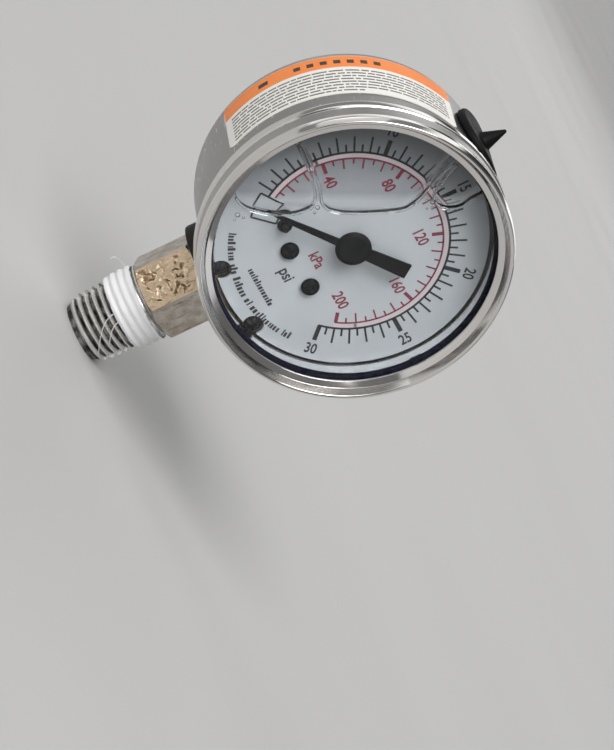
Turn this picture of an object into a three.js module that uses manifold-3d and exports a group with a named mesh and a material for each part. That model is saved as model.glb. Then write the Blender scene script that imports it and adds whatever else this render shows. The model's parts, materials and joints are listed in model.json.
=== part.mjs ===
// Liquid-filled dial pressure gauge, 50 mm nominal size, bottom connection with a 1/4 inch tapered pipe
// thread. Millimetres. The stem stands on +Z with its open end at the origin; the dial faces -Y.
import * as THREE from 'three';
import { mergeVertices } from 'three/addons/utils/BufferGeometryUtils.js';
import Module from 'manifold-3d';

// ---- Driving dimensions ------------------------------------------------------------------------------
const DIAL_Z = 52.5;              // dial centre above the open end of the stem
const CASE_R = 26;                // outside radius of the case
const CASE_WALL = 0.8;
const CASE_BACK = 10.2;           // outside face of the case's back
const CASE_CORNER = 2.6;          // radius of the case's rear corner
const FLANGE_R = 26.7;            // rolled mouth of the case
const FLANGE_FRONT = -14.5;
const BEZEL_R = 27.7;
const BEZEL_CREST = -20.2;        // foremost point of the bezel's lip
const BEZEL_REAR = -12.9;
const LIP_R = 24.9;               // inner edge of the bezel's lip
const WINDOW_R = 26.6;
const WINDOW_FRONT = -17.45;
const WINDOW_THICK = 1.5;
const GASKET_SLEEVE = 0.5;        // thickness of the gasket's sleeve, which runs back to the dial
const GAP = 0.3;                  // room between pieces that touch
const DIAL_R = 24;
const DIAL_FRONT = -11.6;
const DIAL_THICK = 0.7;
const DIAL_SCREW = [4.1, -10.15]; // across and up from the dial centre
const SOCKET_SCREW = [6.3, -22.3];
const DIAL_SCREW_HEAD = 1.65;     // radius
const SOCKET_SCREW_HEAD = 1.7;
const NOTCH_R = 1.9;              // dial's openings round the socket screws
const STOP_ANGLE = -134;          // clock angles are degrees clockwise from 12 o'clock
const STOP_RADIUS = 12.5;
const POINTER_REST = -126;
const POINTER_FRONT = -14.3;
const POINTER_THICK = 0.4;
const POINTER_TIP = 16.8;
const POINTER_TAIL = 10.9;
const HUB_R = 3.25;
const FRONT_PLATE = [-9.4, -8.4]; // front and back faces
const BACK_PLATE = [-3.6, -2.6];
const PLATE_HALF = 6.5;           // half the width of both plates
const PLATE_TOP = 4.6;
const PILLARS = [[-5, 2.8], [5, 2.8], [0, -14.4]];
const PILLAR_R = 1;
const ARBOR_R = 0.6;
const PIN_R = 0.45;
const PIN_HOLE_R = 0.55;
const BEARING_R = 0.68;
const GEAR_MODULE = 0.2;
const PINION_TEETH = 10;
const SECTOR_TEETH = 90;          // as a full wheel; only the working part is cut
const SECTOR_SWING = 29;          // degrees for the pointer's full travel
const SECTOR_FACE = [-7.2, -6.4];
const PIVOT_DROP = 10;            // sector pivot below the pointer arbor
const TAIL_R = 5;                 // sector pivot to the link's pin
const TAIL_ANGLE = 110;
const TIP_PIN = [10, -5.5];
const LINK_FACE = [-6.1, -5.4];
const LINK_HALF = 0.75;           // half the link's width
const SPRING_R = [1.5, 4.55];     // hairspring's inner and outer turns
const SPRING_TURNS = 4.5;
const SPRING_END = -135;
const TUBE_R = 17.5;              // centreline of the Bourdon tube
const TUBE_MID = 3;
const TUBE_WIDE = 8;
const TUBE_THICK = 2.4;
const TUBE_WALL = 0.35;
const TUBE_FROM = 195;            // clock angles of the tube's ends, running clockwise over the top
const TUBE_TO = 470;
const THREAD_PITCH = 25.4 / 18;
const THREAD_LONG = 13.6;
const THREAD_TIP_R = 6.39;        // crest radius at the open end, before its chamfer
const THREAD_TAPER = 1 / 32;      // crest radius gained per millimetre
const THREAD_DEPTH = 0.85;
const THREAD_START = 0.47;        // part of a turn by which the crest is set back
const LEAD_LONG = 2.2;            // chamfer at the open end
const LEAD_R = 5.2;
const BORE_R = 3.1;
const BORE_DEEP = 23;
const HEX_ACROSS = 14;
const HEX_FROM = 14.4;
const HEX_TO = 25.1;
const HEX_TURN = -14;             // degrees about +Z from having two flats square to X
const NECK_R = 7.4;
const BLOCK_HALF = 8.5;
const BLOCK_FRONT = -8.1;
const BLOCK_BACK = 7.8;
const BLOCK_TOP = -18.2;          // relative to the dial centre
const TAPE_FROM = 8.2;
const TAPE_TO = 13.35;
const TAPE_R = [6.98, 7.22];
const LABEL_ARC = [-116, -18];
const LABEL_FACE = [-7, 7.4];
const LABEL_R = [26.1, 26.25];
const PLUG_R = 6.8;
const PLUG_HOLE_R = 3.3;
const PLUG_TOP = 27.5;
const NIB_R = 1.7;
const NIB_TOP = 31.75;

const wasm = await Module();
wasm.setup();

// ---- Materials ---------------------------------------------------------------------------------------
const finish = (color, roughness, metalness) =>
  new THREE.MeshStandardMaterial({ color, roughness, metalness });
const satinSteel = finish(0x9a9894, 0.38, 1);
const polishedSteel = finish(0xd8d6d0, 0.14, 1);
const stemSteel = finish(0xa39c92, 0.42, 1);
const brass = finish(0xc2a055, 0.3, 1);
const bronze = finish(0xb07f4a, 0.34, 1);
const springSteel = finish(0x8e9298, 0.28, 1);
const blackRubber = finish(0x141415, 0.62, 0);
const blackMetal = finish(0x17181a, 0.4, 0.3);
const dialEnamel = finish(0xb9bcc0, 0.5, 0);
const clearGlass = finish(0xdfe8ea, 0.05, 0);
const whiteTape = finish(0xf0f0ee, 0.6, 0);
const labelPaper = finish(0xeceae4, 0.55, 0);

// ---- Helpers -----------------------------------------------------------------------------------------
const clockPoint = (angle, radius) => {
  const turn = THREE.MathUtils.degToRad(angle);
  return [radius * Math.sin(turn), radius * Math.cos(turn)];
};

function toSolid(geometry) {
  const bare = geometry.clone();
  bare.deleteAttribute('normal');
  bare.deleteAttribute('uv');
  const merged = mergeVertices(bare, 1e-4);
  const vertProperties = new Float32Array(merged.attributes.position.array);
  const triVerts = new Uint32Array(merged.index.array);
  return new wasm.Manifold(new wasm.Mesh({ numProp: 3, vertProperties, triVerts }));
}

function toGeometry(solid) {
  const mesh = solid.getMesh();
  const geometry = new THREE.BufferGeometry();
  geometry.setAttribute('position', new THREE.BufferAttribute(mesh.vertProperties, 3));
  geometry.setIndex(new THREE.BufferAttribute(mesh.triVerts, 1));
  geometry.computeVertexNormals();
  return geometry;
}

const join = (...parts) => parts.map(toSolid).reduce((whole, part) => whole.add(part));

const cut = (solid, ...tools) => tools.map(toSolid).reduce((left, tool) => left.subtract(tool), solid);

// A solid of revolution about Y from [radius, y] points, which start and end on the axis or close.
// A profile faces outward when it runs anticlockwise in (radius, y).
function turned(points, segments = 48) {
  const profile = points.map(([radius, y]) => new THREE.Vector2(radius, y));
  if (THREE.ShapeUtils.area(profile) < 0) profile.reverse();
  return new THREE.LatheGeometry(profile, segments);
}

// A closed ring about Y with the given [radius, y] corners.
const ring = (corners, segments) => turned([...corners, corners[0]], segments);

const washer = (inner, outer, front, back, segments = 32) =>
  ring([[inner, front], [outer, front], [outer, back], [inner, back]], segments);

// Turns a shape about Y into one about +Z.
const stood = (geometry) => geometry.rotateX(Math.PI / 2);

// A rod along +Z between two heights.
const upright = (radius, from, to, segments = 32) =>
  stood(new THREE.CylinderGeometry(radius, radius, to - from, segments)).translate(0, 0, (from + to) / 2);

// A rod along Y from front to back, centred across and up at x and z.
function rod(x, z, radius, front, back, segments = 16) {
  const geometry = new THREE.CylinderGeometry(radius, radius, back - front, segments);
  return geometry.translate(x, (front + back) / 2, z);
}

// A flat plate whose outline is drawn across (X) and up (Z), between two Y faces.
function plate(shape, front, back, curveSegments = 12) {
  const options = { depth: back - front, bevelEnabled: false, curveSegments };
  const geometry = new THREE.ExtrudeGeometry(shape, options);
  return geometry.rotateX(Math.PI / 2).translate(0, back, 0);
}

function outline(points) {
  const shape = new THREE.Shape();
  points.forEach(([x, z], index) => (index ? shape.lineTo(x, z) : shape.moveTo(x, z)));
  return shape;
}

function box(xs, ys, zs) {
  const geometry = new THREE.BoxGeometry(xs[1] - xs[0], ys[1] - ys[0], zs[1] - zs[0]);
  return geometry.translate((xs[0] + xs[1]) / 2, (ys[0] + ys[1]) / 2, (zs[0] + zs[1]) / 2);
}

function named(name, geometry, material) {
  const mesh = new THREE.Mesh(geometry, material);
  mesh.name = name;
  return mesh;
}

// Points of a quarter round from angle a to b, in degrees, about a centre in (radius, y).
function roundCorner(centreR, centreY, radius, a, b, steps = 3) {
  return Array.from({ length: steps + 1 }, (_, i) => {
    const angle = THREE.MathUtils.degToRad(a + ((b - a) * i) / steps);
    return [centreR + radius * Math.cos(angle), centreY + radius * Math.sin(angle)];
  });
}

// ---- Case, bezel and window --------------------------------------------------------------------------
function caseShell() {
  const inner = CASE_R - CASE_WALL;
  const cornerIn = CASE_CORNER - CASE_WALL;
  const cornerR = CASE_R - CASE_CORNER;
  const cornerY = CASE_BACK - CASE_CORNER;
  const profile = [
    [0, CASE_BACK - CASE_WALL],
    ...roundCorner(cornerR, cornerY, cornerIn, 90, 0),
    [inner, FLANGE_FRONT],
    [FLANGE_R, FLANGE_FRONT],
    [FLANGE_R, FLANGE_FRONT + CASE_WALL],
    [CASE_R, FLANGE_FRONT + CASE_WALL],
    ...roundCorner(cornerR, cornerY, CASE_CORNER, 0, 90),
    [0, CASE_BACK],
  ];
  const neckHole = upright(NECK_R + 0.4, -CASE_R - 4, -CASE_R + 4, 32);
  const plugHole = upright(PLUG_HOLE_R, CASE_R - 4, CASE_R + 4, 24);
  return toGeometry(cut(toSolid(turned(profile, 48)), neckHole, plugHole));
}

function bezelRing() {
  const skirtR = CASE_R + 0.35;
  const wallR = WINDOW_R + 0.5;
  const corners = [
    [skirtR, BEZEL_REAR],
    [BEZEL_R - 0.3, BEZEL_REAR],
    [BEZEL_R, BEZEL_REAR - 0.3],
    [BEZEL_R, BEZEL_CREST + 0.9],
    [BEZEL_R - 0.15, BEZEL_CREST + 0.35],
    [BEZEL_R - 0.5, BEZEL_CREST],
    [BEZEL_R - 0.9, BEZEL_CREST + 0.15],
    [BEZEL_R - 1.7, BEZEL_CREST + 1.5],
    [LIP_R, BEZEL_CREST + 2.1],
    [LIP_R, WINDOW_FRONT - GAP],
    [wallR, WINDOW_FRONT - GAP],
    [wallR, BEZEL_REAR - 0.6],
    [skirtR, BEZEL_REAR - 0.6],
  ];
  return ring(corners, 48);
}

// A flange between the window and the case's mouth, with a sleeve that lines the case in front of the dial.
function windowGasket() {
  const front = WINDOW_FRONT + WINDOW_THICK + GAP;
  const flangeBack = FLANGE_FRONT - GAP;
  const sleeveBack = DIAL_FRONT - 2 * GAP;
  const corners = [
    [LIP_R - GASKET_SLEEVE, front],
    [WINDOW_R, front],
    [WINDOW_R, flangeBack],
    [LIP_R, flangeBack],
    [LIP_R, sleeveBack],
    [LIP_R - GASKET_SLEEVE, sleeveBack],
  ];
  return ring(corners, 48);
}

const windowPane = () => rod(0, 0, WINDOW_R, WINDOW_FRONT, WINDOW_FRONT + WINDOW_THICK, 48);

// ---- Dial and what stands on it ----------------------------------------------------------------------
function dialPlate() {
  const back = DIAL_FRONT + DIAL_THICK;
  const [screwX, screwZ] = DIAL_SCREW;
  const [notchX, notchZ] = SOCKET_SCREW;
  const [stopX, stopZ] = clockPoint(STOP_ANGLE, STOP_RADIUS);
  const hole = (x, z, radius) => rod(x, z, radius, DIAL_FRONT - 1, back + 1, 12);
  const holes = [
    hole(0, 0, 1.6),
    hole(screwX, screwZ, 1.1),
    hole(-screwX, screwZ, 1.1),
    hole(notchX, notchZ, NOTCH_R),
    hole(-notchX, notchZ, NOTCH_R),
    hole(stopX, stopZ, 0.75),
  ];
  return toGeometry(cut(toSolid(rod(0, 0, DIAL_R, DIAL_FRONT, back, 48)), ...holes));
}

// A round-headed screw along Y: domed head in front of seat, shank behind it.
function roundHeadScrew(x, z, headR, headTall, shankR, seat, end) {
  const dome = roundCorner(0, 0, 1, 0, 90).map(([across, up]) => [
    headR * across,
    seat - headTall * (0.35 + 0.65 * up),
  ]);
  const shank = [[0, end], [shankR, end], [shankR, seat], [headR, seat]];
  return turned([...shank, ...dome.slice(0, -1), [0, seat - headTall]], 14).translate(x, 0, z);
}

function stopPin() {
  const base = DIAL_FRONT - 0.1;
  const points = [
    [0, DIAL_FRONT + DIAL_THICK + 0.4],
    [0.55, DIAL_FRONT + DIAL_THICK + 0.4],
    [0.55, base],
    [1.3, base],
    [1.3, base - 0.4],
    [0.55, base - 0.4],
    [0.55, base - 2.7],
    [0, base - 2.8],
  ];
  const [x, z] = clockPoint(STOP_ANGLE, STOP_RADIUS);
  return turned(points, 12).translate(x, 0, z);
}

function pointerBlade() {
  const shoulder = POINTER_TIP - 3.2;
  const needle = outline([[0.75, 0], [0.5, shoulder], [0, POINTER_TIP], [-0.5, shoulder], [-0.75, 0]]);
  const tail = outline([[-1.05, 0], [-1.45, -POINTER_TAIL], [1.45, -POINTER_TAIL], [1.05, 0]]);
  const back = POINTER_FRONT + POINTER_THICK;
  const hub = turned([
    [0, back + 1.5],
    [1.1, back + 1.5],
    [1.1, back + 0.1],
    [HUB_R, back],
    [HUB_R, POINTER_FRONT - 0.15],
    [HUB_R - 0.9, POINTER_FRONT - 0.5],
    [0, POINTER_FRONT - 0.65],
  ], 32);
  const solid = join(plate(needle, POINTER_FRONT, back), plate(tail, POINTER_FRONT, back), hub);
  return toGeometry(cut(solid, rod(0, 0, 0.6, back - 0.2, back + 2, 16)));
}

// ---- Movement ----------------------------------------------------------------------------------------
// Straight-flanked teeth with a little backlash. turn is the clock angle of one tooth's middle.
function toothedOutline(teeth, first, count, turn, module) {
  const pitchR = (teeth * module) / 2;
  const step = 360 / teeth;
  const rootR = pitchR - 0.95 * module;
  const tipR = pitchR + 0.75 * module;
  const points = [];
  for (let i = first; i < first + count; i += 1) {
    const middle = turn + i * step;
    points.push(clockPoint(middle - 0.3 * step, rootR));
    points.push(clockPoint(middle - 0.11 * step, tipR));
    points.push(clockPoint(middle + 0.11 * step, tipR));
    points.push(clockPoint(middle + 0.3 * step, rootR));
  }
  return points;
}

function pointerArbor() {
  const teeth = toothedOutline(PINION_TEETH, 0, PINION_TEETH, 180 + 180 / PINION_TEETH, GEAR_MODULE);
  const pinion = plate(outline(teeth.reverse()), -8.1, -5.6);
  const shaft = rod(0, 0, ARBOR_R, POINTER_FRONT + 3, BACK_PLATE[1] + 0.2, 16);
  const seat = rod(0, 0, 0.5, POINTER_FRONT + 0.35, POINTER_FRONT + 3.1, 16);
  return toGeometry(join(pinion, shaft, seat));
}

// The sector is drawn about its own pivot, in the place it takes with the pointer at rest.
function sectorGear() {
  const step = 360 / SECTOR_TEETH;
  const rim = toothedOutline(SECTOR_TEETH, -2, 12, 0, GEAR_MODULE);
  const first = -2.5 * step;
  const last = 9.5 * step;
  const rimIn = 7.4;
  const arcIn = [last, last * 0.75 + first * 0.25, (last + first) / 2, first * 0.75 + last * 0.25, first];
  const band = [...rim, ...arcIn.map((angle) => clockPoint(angle, rimIn))];
  const rimPlate = plate(outline(band.reverse()), ...SECTOR_FACE);
  const spoke = (angle) => {
    const bar = box([-0.55, 0.55], SECTOR_FACE, [1.2, 8]);
    return bar.rotateY(THREE.MathUtils.degToRad(angle));
  };
  const tail = box([-0.95, 0.95], SECTOR_FACE, [1.2, TAIL_R + 1.3]);
  tail.rotateY(THREE.MathUtils.degToRad(TAIL_ANGLE));
  const hub = rod(0, 0, 1.9, ...SECTOR_FACE);
  const [pinX, pinZ] = clockPoint(TAIL_ANGLE, TAIL_R);
  const solid = join(rimPlate, spoke(first + 2.4), spoke(last - 2.4), tail, hub);
  const through = [SECTOR_FACE[0] - 1, SECTOR_FACE[1] + 1];
  const holes = [rod(0, 0, ARBOR_R + 0.1, ...through, 16), rod(pinX, pinZ, PIN_HOLE_R, ...through, 16)];
  return toGeometry(cut(solid, ...holes));
}

function sectorArbor() {
  const collar = SECTOR_FACE[1] + 0.1;
  const front = FRONT_PLATE[0] + 0.2;
  const back = BACK_PLATE[1] - 0.2;
  return turned([
    [0, back], [ARBOR_R, back], [ARBOR_R, collar + 0.6], [1.2, collar + 0.6],
    [1.2, collar], [ARBOR_R, collar], [ARBOR_R, front], [0, front],
  ], 16);
}

// The right half of an outline, from its lowest point up, closed by its own mirror image.
const mirrored = (half) => outline([...half, ...half.map(([x, z]) => [-x, z]).reverse()]);

function frontPlate() {
  const foot = [[7, -24.2], [8.8, -23], [8.8, -20.2]];
  const body = [[PLATE_HALF, -19], [PLATE_HALF, PLATE_TOP - 1.6], [PLATE_HALF - 1.5, PLATE_TOP]];
  const solid = toSolid(plate(mirrored([...foot, ...body]), ...FRONT_PLATE));
  const hole = (x, z, radius) => rod(x, z, radius, FRONT_PLATE[0] - 1, FRONT_PLATE[1] + 1, 12);
  const sides = [-1, 1].flatMap((side) => [
    hole(side * SOCKET_SCREW[0], SOCKET_SCREW[1], 1),
    hole(side * DIAL_SCREW[0], DIAL_SCREW[1], 0.9),
  ]);
  const pillarHoles = PILLARS.map(([x, z]) => hole(x, z, 0.75));
  const lightening = hole(0, -19, 2.2);
  const bearings = [hole(0, 0, BEARING_R), hole(0, -PIVOT_DROP, BEARING_R)];
  return toGeometry(cut(solid, ...sides, ...pillarHoles, ...bearings, lightening));
}

function backPlate() {
  const foot = [[3, -16.2], [PLATE_HALF, -11]];
  const body = [[PLATE_HALF, PLATE_TOP - 1.6], [PLATE_HALF - 1.5, PLATE_TOP]];
  const solid = toSolid(plate(mirrored([...foot, ...body]), ...BACK_PLATE));
  const hole = (x, z, radius) => rod(x, z, radius, BACK_PLATE[0] - 1, BACK_PLATE[1] + 1, 12);
  const bearings = [hole(0, 0, BEARING_R), hole(0, -PIVOT_DROP, BEARING_R)];
  const screwHoles = PILLARS.map(([x, z]) => hole(x, z, 0.6));
  return toGeometry(cut(solid, ...bearings, ...screwHoles));
}

// A round pillar whose spigot sits in the front plate; its rear end is bored for a screw.
function pillar([x, z]) {
  const front = FRONT_PLATE[1] + 0.1;
  const back = BACK_PLATE[0] - 0.1;
  const spigot = FRONT_PLATE[0] + 0.1;
  const bore = [[0, back - 2.2], [0.55, back - 2.2], [0.55, back]];
  const post = [[PILLAR_R, back], [PILLAR_R, front], [0.6, front], [0.6, spigot], [0, spigot]];
  return turned([...bore, ...post], 12).translate(x, 0, z);
}

// The screw's head sits behind the back plate and its shank enters the pillar's tapped end.
function pillarScrew([x, z]) {
  const seat = BACK_PLATE[1] + 0.1;
  const tip = BACK_PLATE[0] - 1.8;
  const head = [[0, seat + 0.9], [1, seat + 0.9], [1.4, seat + 0.5], [1.4, seat]];
  const shank = [[0.45, seat], [0.45, tip], [0, tip]];
  return turned([...head, ...shank], 12).translate(x, 0, z);
}

function hairspring() {
  const [inner, outer] = SPRING_R;
  class Spiral extends THREE.Curve {
    getPoint(t, target = new THREE.Vector3()) {
      const radius = inner + (outer - inner) * t;
      const [x, z] = clockPoint(SPRING_END - 360 * SPRING_TURNS * (1 - t), radius);
      return target.set(x, -4.65, z);
    }
  }
  const strip = outline([[-0.25, -0.06], [0.25, -0.06], [0.25, 0.06], [-0.25, 0.06]]);
  return new THREE.ExtrudeGeometry(strip, { steps: 64, extrudePath: new Spiral(), bevelEnabled: false });
}

function springStud() {
  const [x, z] = clockPoint(SPRING_END, SPRING_R[1] + 0.7);
  return rod(x, z, 0.55, -5.3, BACK_PLATE[0] - 0.1, 12);
}

// ---- Bourdon tube and its linkage --------------------------------------------------------------------
class TubeArc extends THREE.Curve {
  constructor(from, to) {
    super();
    this.from = from;
    this.to = to;
  }

  getPoint(t, target = new THREE.Vector3()) {
    const [x, z] = clockPoint(this.from + (this.to - this.from) * t, TUBE_R);
    return target.set(x, TUBE_MID, z);
  }
}

// A flattened oval: two straight sides joined by half rounds.
function ovalPath(path, wide, thick) {
  const radius = thick / 2;
  const reach = wide / 2 - radius;
  path.absarc(reach, 0, radius, -Math.PI / 2, Math.PI / 2, false);
  path.absarc(-reach, 0, radius, Math.PI / 2, 1.5 * Math.PI, false);
  return path;
}

function tubeSolid(from, to, section, steps) {
  const options = { steps, extrudePath: new TubeArc(from, to), bevelEnabled: false, curveSegments: 2 };
  return new THREE.ExtrudeGeometry(section, options);
}

function bourdonTube() {
  const section = ovalPath(new THREE.Shape(), TUBE_WIDE, TUBE_THICK);
  section.holes.push(ovalPath(new THREE.Path(), TUBE_WIDE - 2 * TUBE_WALL, TUBE_THICK - 2 * TUBE_WALL));
  return tubeSolid(TUBE_FROM, TUBE_TO, section, 30);
}

// The end piece closes the tube and reaches inward and forward to carry the link's upper pin.
function tubeEndPiece() {
  const section = ovalPath(new THREE.Shape(), TUBE_WIDE + 0.6, TUBE_THICK + 0.6);
  const cap = tubeSolid(TUBE_TO + 1, TUBE_TO + 8, section, 3);
  const [capX, capZ] = clockPoint(TUBE_TO + 4.5, TUBE_R);
  const [x, z] = TIP_PIN;
  const face = TUBE_MID - TUBE_WIDE / 2;
  const root = [[capX + 0.9, capZ - 1.1], [capX + 0.9, capZ + 0.9]];
  const end = [[x + 0.3, z + 1.3], [x - 1.2, z + 0.6], [x - 0.6, z - 1.3]];
  const arm = plate(outline([...root, ...end]), face - 1.2, face + 0.4);
  const post = rod(x, z, 1.15, LINK_FACE[1] + GAP, face);
  const solid = join(cap, arm, post);
  return toGeometry(cut(solid, rod(x, z, PIN_HOLE_R, LINK_FACE[1], face - 1.4, 16)));
}

// The lower eye is bored wide, so that it clears its pin while the linkage turns.
function linkStrip() {
  const [farX, farZ] = clockPoint(TAIL_ANGLE, TAIL_R);
  const start = new THREE.Vector2(farX, farZ - PIVOT_DROP);
  const end = new THREE.Vector2(...TIP_PIN);
  const along = end.clone().sub(start).normalize();
  const side = new THREE.Vector2(-along.y, along.x).multiplyScalar(LINK_HALF);
  const lower = [start.clone().sub(side), end.clone().sub(side)];
  const upper = [end.clone().add(side), start.clone().add(side)];
  const bar = outline([...lower, ...upper].map((point) => [point.x, point.y]));
  const eyes = [rod(start.x, start.y, 1.35, ...LINK_FACE), rod(end.x, end.y, 1.15, ...LINK_FACE)];
  const through = [LINK_FACE[0] - 1, LINK_FACE[1] + 1];
  const holes = [rod(start.x, start.y, 0.8, ...through, 16), rod(end.x, end.y, PIN_HOLE_R, ...through, 16)];
  return toGeometry(cut(join(plate(bar, ...LINK_FACE), ...eyes), ...holes));
}

function shoulderPin(x, z, headFront, headBack, end) {
  const head = [[2.1 * PIN_R, headBack], [2.1 * PIN_R, headFront], [0, headFront]];
  const points = [[0, end], [PIN_R, end], [PIN_R, headBack], ...head];
  return turned(points, 16).translate(x, 0, z);
}

// ---- Socket: pipe thread, hexagon, neck and inner block ----------------------------------------------
function threadRod() {
  const rowsPerTurn = 4;
  const columns = 28;
  const rows = Math.round((THREAD_LONG / THREAD_PITCH) * rowsPerTurn);
  const positions = [];
  const indices = [];
  const addPoint = (x, y, z) => positions.push(x, y, z) / 3 - 1;
  for (let row = 0; row <= rows; row += 1) {
    const z = (THREAD_LONG * row) / rows;
    for (let column = 0; column < columns; column += 1) {
      const turn = column / columns;
      const phase = (((z / THREAD_PITCH - turn - THREAD_START) % 1) + 1) % 1;
      const valley = 1 - Math.abs(2 * phase - 1);
      const crest = THREAD_TIP_R + THREAD_TAPER * z;
      const cut = THREAD_DEPTH * Math.min(1, Math.max(0, 1.15 * valley - 0.12));
      const lead = LEAD_R + ((THREAD_TIP_R - LEAD_R) * z) / LEAD_LONG;
      const radius = Math.min(crest - cut, lead);
      addPoint(radius * Math.cos(2 * Math.PI * turn), radius * Math.sin(2 * Math.PI * turn), z);
    }
  }
  const at = (row, column) => row * columns + (column % columns);
  for (let row = 0; row < rows; row += 1) {
    for (let column = 0; column < columns; column += 1) {
      indices.push(at(row, column), at(row, column + 1), at(row + 1, column + 1));
      indices.push(at(row, column), at(row + 1, column + 1), at(row + 1, column));
    }
  }
  const bottom = addPoint(0, 0, 0);
  const top = addPoint(0, 0, THREAD_LONG);
  for (let column = 0; column < columns; column += 1) {
    indices.push(bottom, at(0, column + 1), at(0, column));
    indices.push(top, at(rows, column), at(rows, column + 1));
  }
  const geometry = new THREE.BufferGeometry();
  geometry.setAttribute('position', new THREE.Float32BufferAttribute(positions, 3));
  geometry.setIndex(indices);
  return geometry;
}

function chamferedHex() {
  const corner = HEX_ACROSS / Math.sqrt(3);
  const hex = toSolid(upright(corner, HEX_FROM, HEX_TO, 6));
  const profile = [[0, HEX_FROM], [corner - 0.9, HEX_FROM], [corner, HEX_FROM + 0.5]];
  profile.push([corner + 0.1, HEX_TO - 0.5], [corner - 0.7, HEX_TO], [0, HEX_TO]);
  return hex.rotate([0, 0, HEX_TURN]).intersect(toSolid(stood(turned(profile, 36))));
}

function innerBlock() {
  const xs = [-BLOCK_HALF, BLOCK_HALF];
  const block = join(
    box(xs, [BLOCK_FRONT, BLOCK_BACK], [DIAL_Z - 27, DIAL_Z + BLOCK_TOP]),
    box([-BLOCK_HALF, -1.6], [TUBE_MID - 5, BLOCK_BACK], [DIAL_Z - 20, DIAL_Z - 14.4]),
  );
  const reach = CASE_R - CASE_WALL - GAP;
  return block.intersect(toSolid(rod(0, DIAL_Z, reach, BLOCK_FRONT - 1, BLOCK_BACK + 1, 64)));
}

function socketBody() {
  const shoulder = upright(6.3, THREAD_LONG - 0.2, HEX_FROM + 0.2);
  const neck = upright(NECK_R, HEX_TO - 0.2, DIAL_Z - 23);
  const solid = join(threadRod(), shoulder, neck).add(chamferedHex()).add(innerBlock());
  const pocketSection = ovalPath(new THREE.Shape(), TUBE_WIDE + 2 * GAP, TUBE_THICK + 2 * GAP);
  const pocket = tubeSolid(TUBE_FROM - 2, TUBE_FROM + 30, pocketSection, 8).translate(0, 0, DIAL_Z);
  const feedHole = stood(new THREE.CylinderGeometry(0.8, 0.8, 8, 12));
  feedHole.rotateY(-0.9).translate(-2.2, TUBE_MID - 0.6, DIAL_Z - 18.4);
  const [screwX, screwZ] = SOCKET_SCREW;
  const screwDepth = [BLOCK_FRONT - 1, BLOCK_FRONT + 4.2];
  const screwHole = (side) => rod(side * screwX, screwZ + DIAL_Z, 0.95, ...screwDepth, 16);
  const bores = [upright(BORE_R, -1, BORE_DEEP, 24), upright(1.9, BORE_DEEP - 1, DIAL_Z - 20.5, 16)];
  return toGeometry(cut(solid, ...bores, pocket, feedHole, screwHole(-1), screwHole(1)));
}

function socketSeal() {
  const tube = toSolid(upright(9, HEX_TO + GAP, DIAL_Z - 22.5));
  const caseOuter = rod(0, DIAL_Z, CASE_R + GAP, -12, 12, 64);
  return toGeometry(cut(tube, upright(NECK_R + GAP, 20, DIAL_Z - 20), caseOuter));
}

function restrictorScrew() {
  const solid = toSolid(upright(1.75, BORE_DEEP + 1, BORE_DEEP + 5, 16));
  const orifice = upright(0.35, BORE_DEEP, BORE_DEEP + 6, 8);
  const slot = box([-0.3, 0.3], [-2, 2], [BORE_DEEP, BORE_DEEP + 1.7]);
  return toGeometry(cut(solid, orifice, slot));
}

const threadTape = () => stood(washer(TAPE_R[0], TAPE_R[1], TAPE_FROM, TAPE_TO, 36));

// ---- Case trim ---------------------------------------------------------------------------------------
function caseLabel() {
  const [from, to] = LABEL_ARC.map((angle) => Math.PI / 2 - THREE.MathUtils.degToRad(angle));
  const shape = new THREE.Shape();
  shape.absarc(0, 0, LABEL_R[1], from, to, true);
  shape.absarc(0, 0, LABEL_R[0], to, from, false);
  return plate(shape, ...LABEL_FACE, 18);
}

function fillPlug() {
  const flange = toSolid(upright(PLUG_R, CASE_R - 3, PLUG_TOP + 1));
  const dome = toSolid(rod(0, 0, PLUG_TOP, -8, 8, 72));
  const hugging = flange.intersect(dome).subtract(toSolid(rod(0, 0, CASE_R + GAP, -9, 9, 72)));
  const stem = toSolid(upright(PLUG_HOLE_R - GAP, CASE_R - 2, CASE_R + 1, 20));
  const base = [[0, PLUG_TOP - 0.5], [NIB_R, PLUG_TOP - 0.5], [NIB_R, PLUG_TOP]];
  const nib = toSolid(stood(turned([...base, [0.25, NIB_TOP - 0.1], [0, NIB_TOP]], 20)));
  return toGeometry(hugging.add(stem).add(nib));
}

// ---- Assembly ----------------------------------------------------------------------------------------
const stem = new THREE.Group();
stem.add(
  named('socket', socketBody(), stemSteel),
  named('socket_seal', socketSeal(), blackRubber),
  named('restrictor_screw', restrictorScrew(), brass),
  named('thread_tape', threadTape(), whiteTape),
);

const movement = new THREE.Group();
movement.add(
  named('movement_front_plate', frontPlate(), brass),
  named('movement_back_plate', backPlate(), brass),
  named('pointer_arbor', pointerArbor(), springSteel),
  named('hairspring', hairspring(), bronze),
  named('hairspring_collet', washer(0.7, 1.35, -5.3, -4.1, 16), brass),
  named('hairspring_stud', springStud(), brass),
  named('bourdon_tube', bourdonTube(), bronze),
  named('tube_end_piece', tubeEndPiece(), brass),
  named('link', linkStrip(), brass),
  named('link_pin_tip', shoulderPin(...TIP_PIN, LINK_FACE[0] - 1, LINK_FACE[0] - 0.1, -4), springSteel),
);
PILLARS.forEach((place, index) => {
  movement.add(named(`movement_pillar_${index + 1}`, pillar(place), brass));
  movement.add(named(`pillar_screw_${index + 1}`, pillarScrew(place), springSteel));
});

const sector = new THREE.Group();
const [tailX, tailZ] = clockPoint(TAIL_ANGLE, TAIL_R);
sector.add(
  named('sector_gear', sectorGear(), brass),
  named('sector_arbor', sectorArbor(), springSteel),
  named('link_pin_sector', shoulderPin(tailX, tailZ, -8.2, SECTOR_FACE[0] - 0.1, -5), springSteel),
);
sector.position.z = -PIVOT_DROP;
movement.add(sector);

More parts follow.
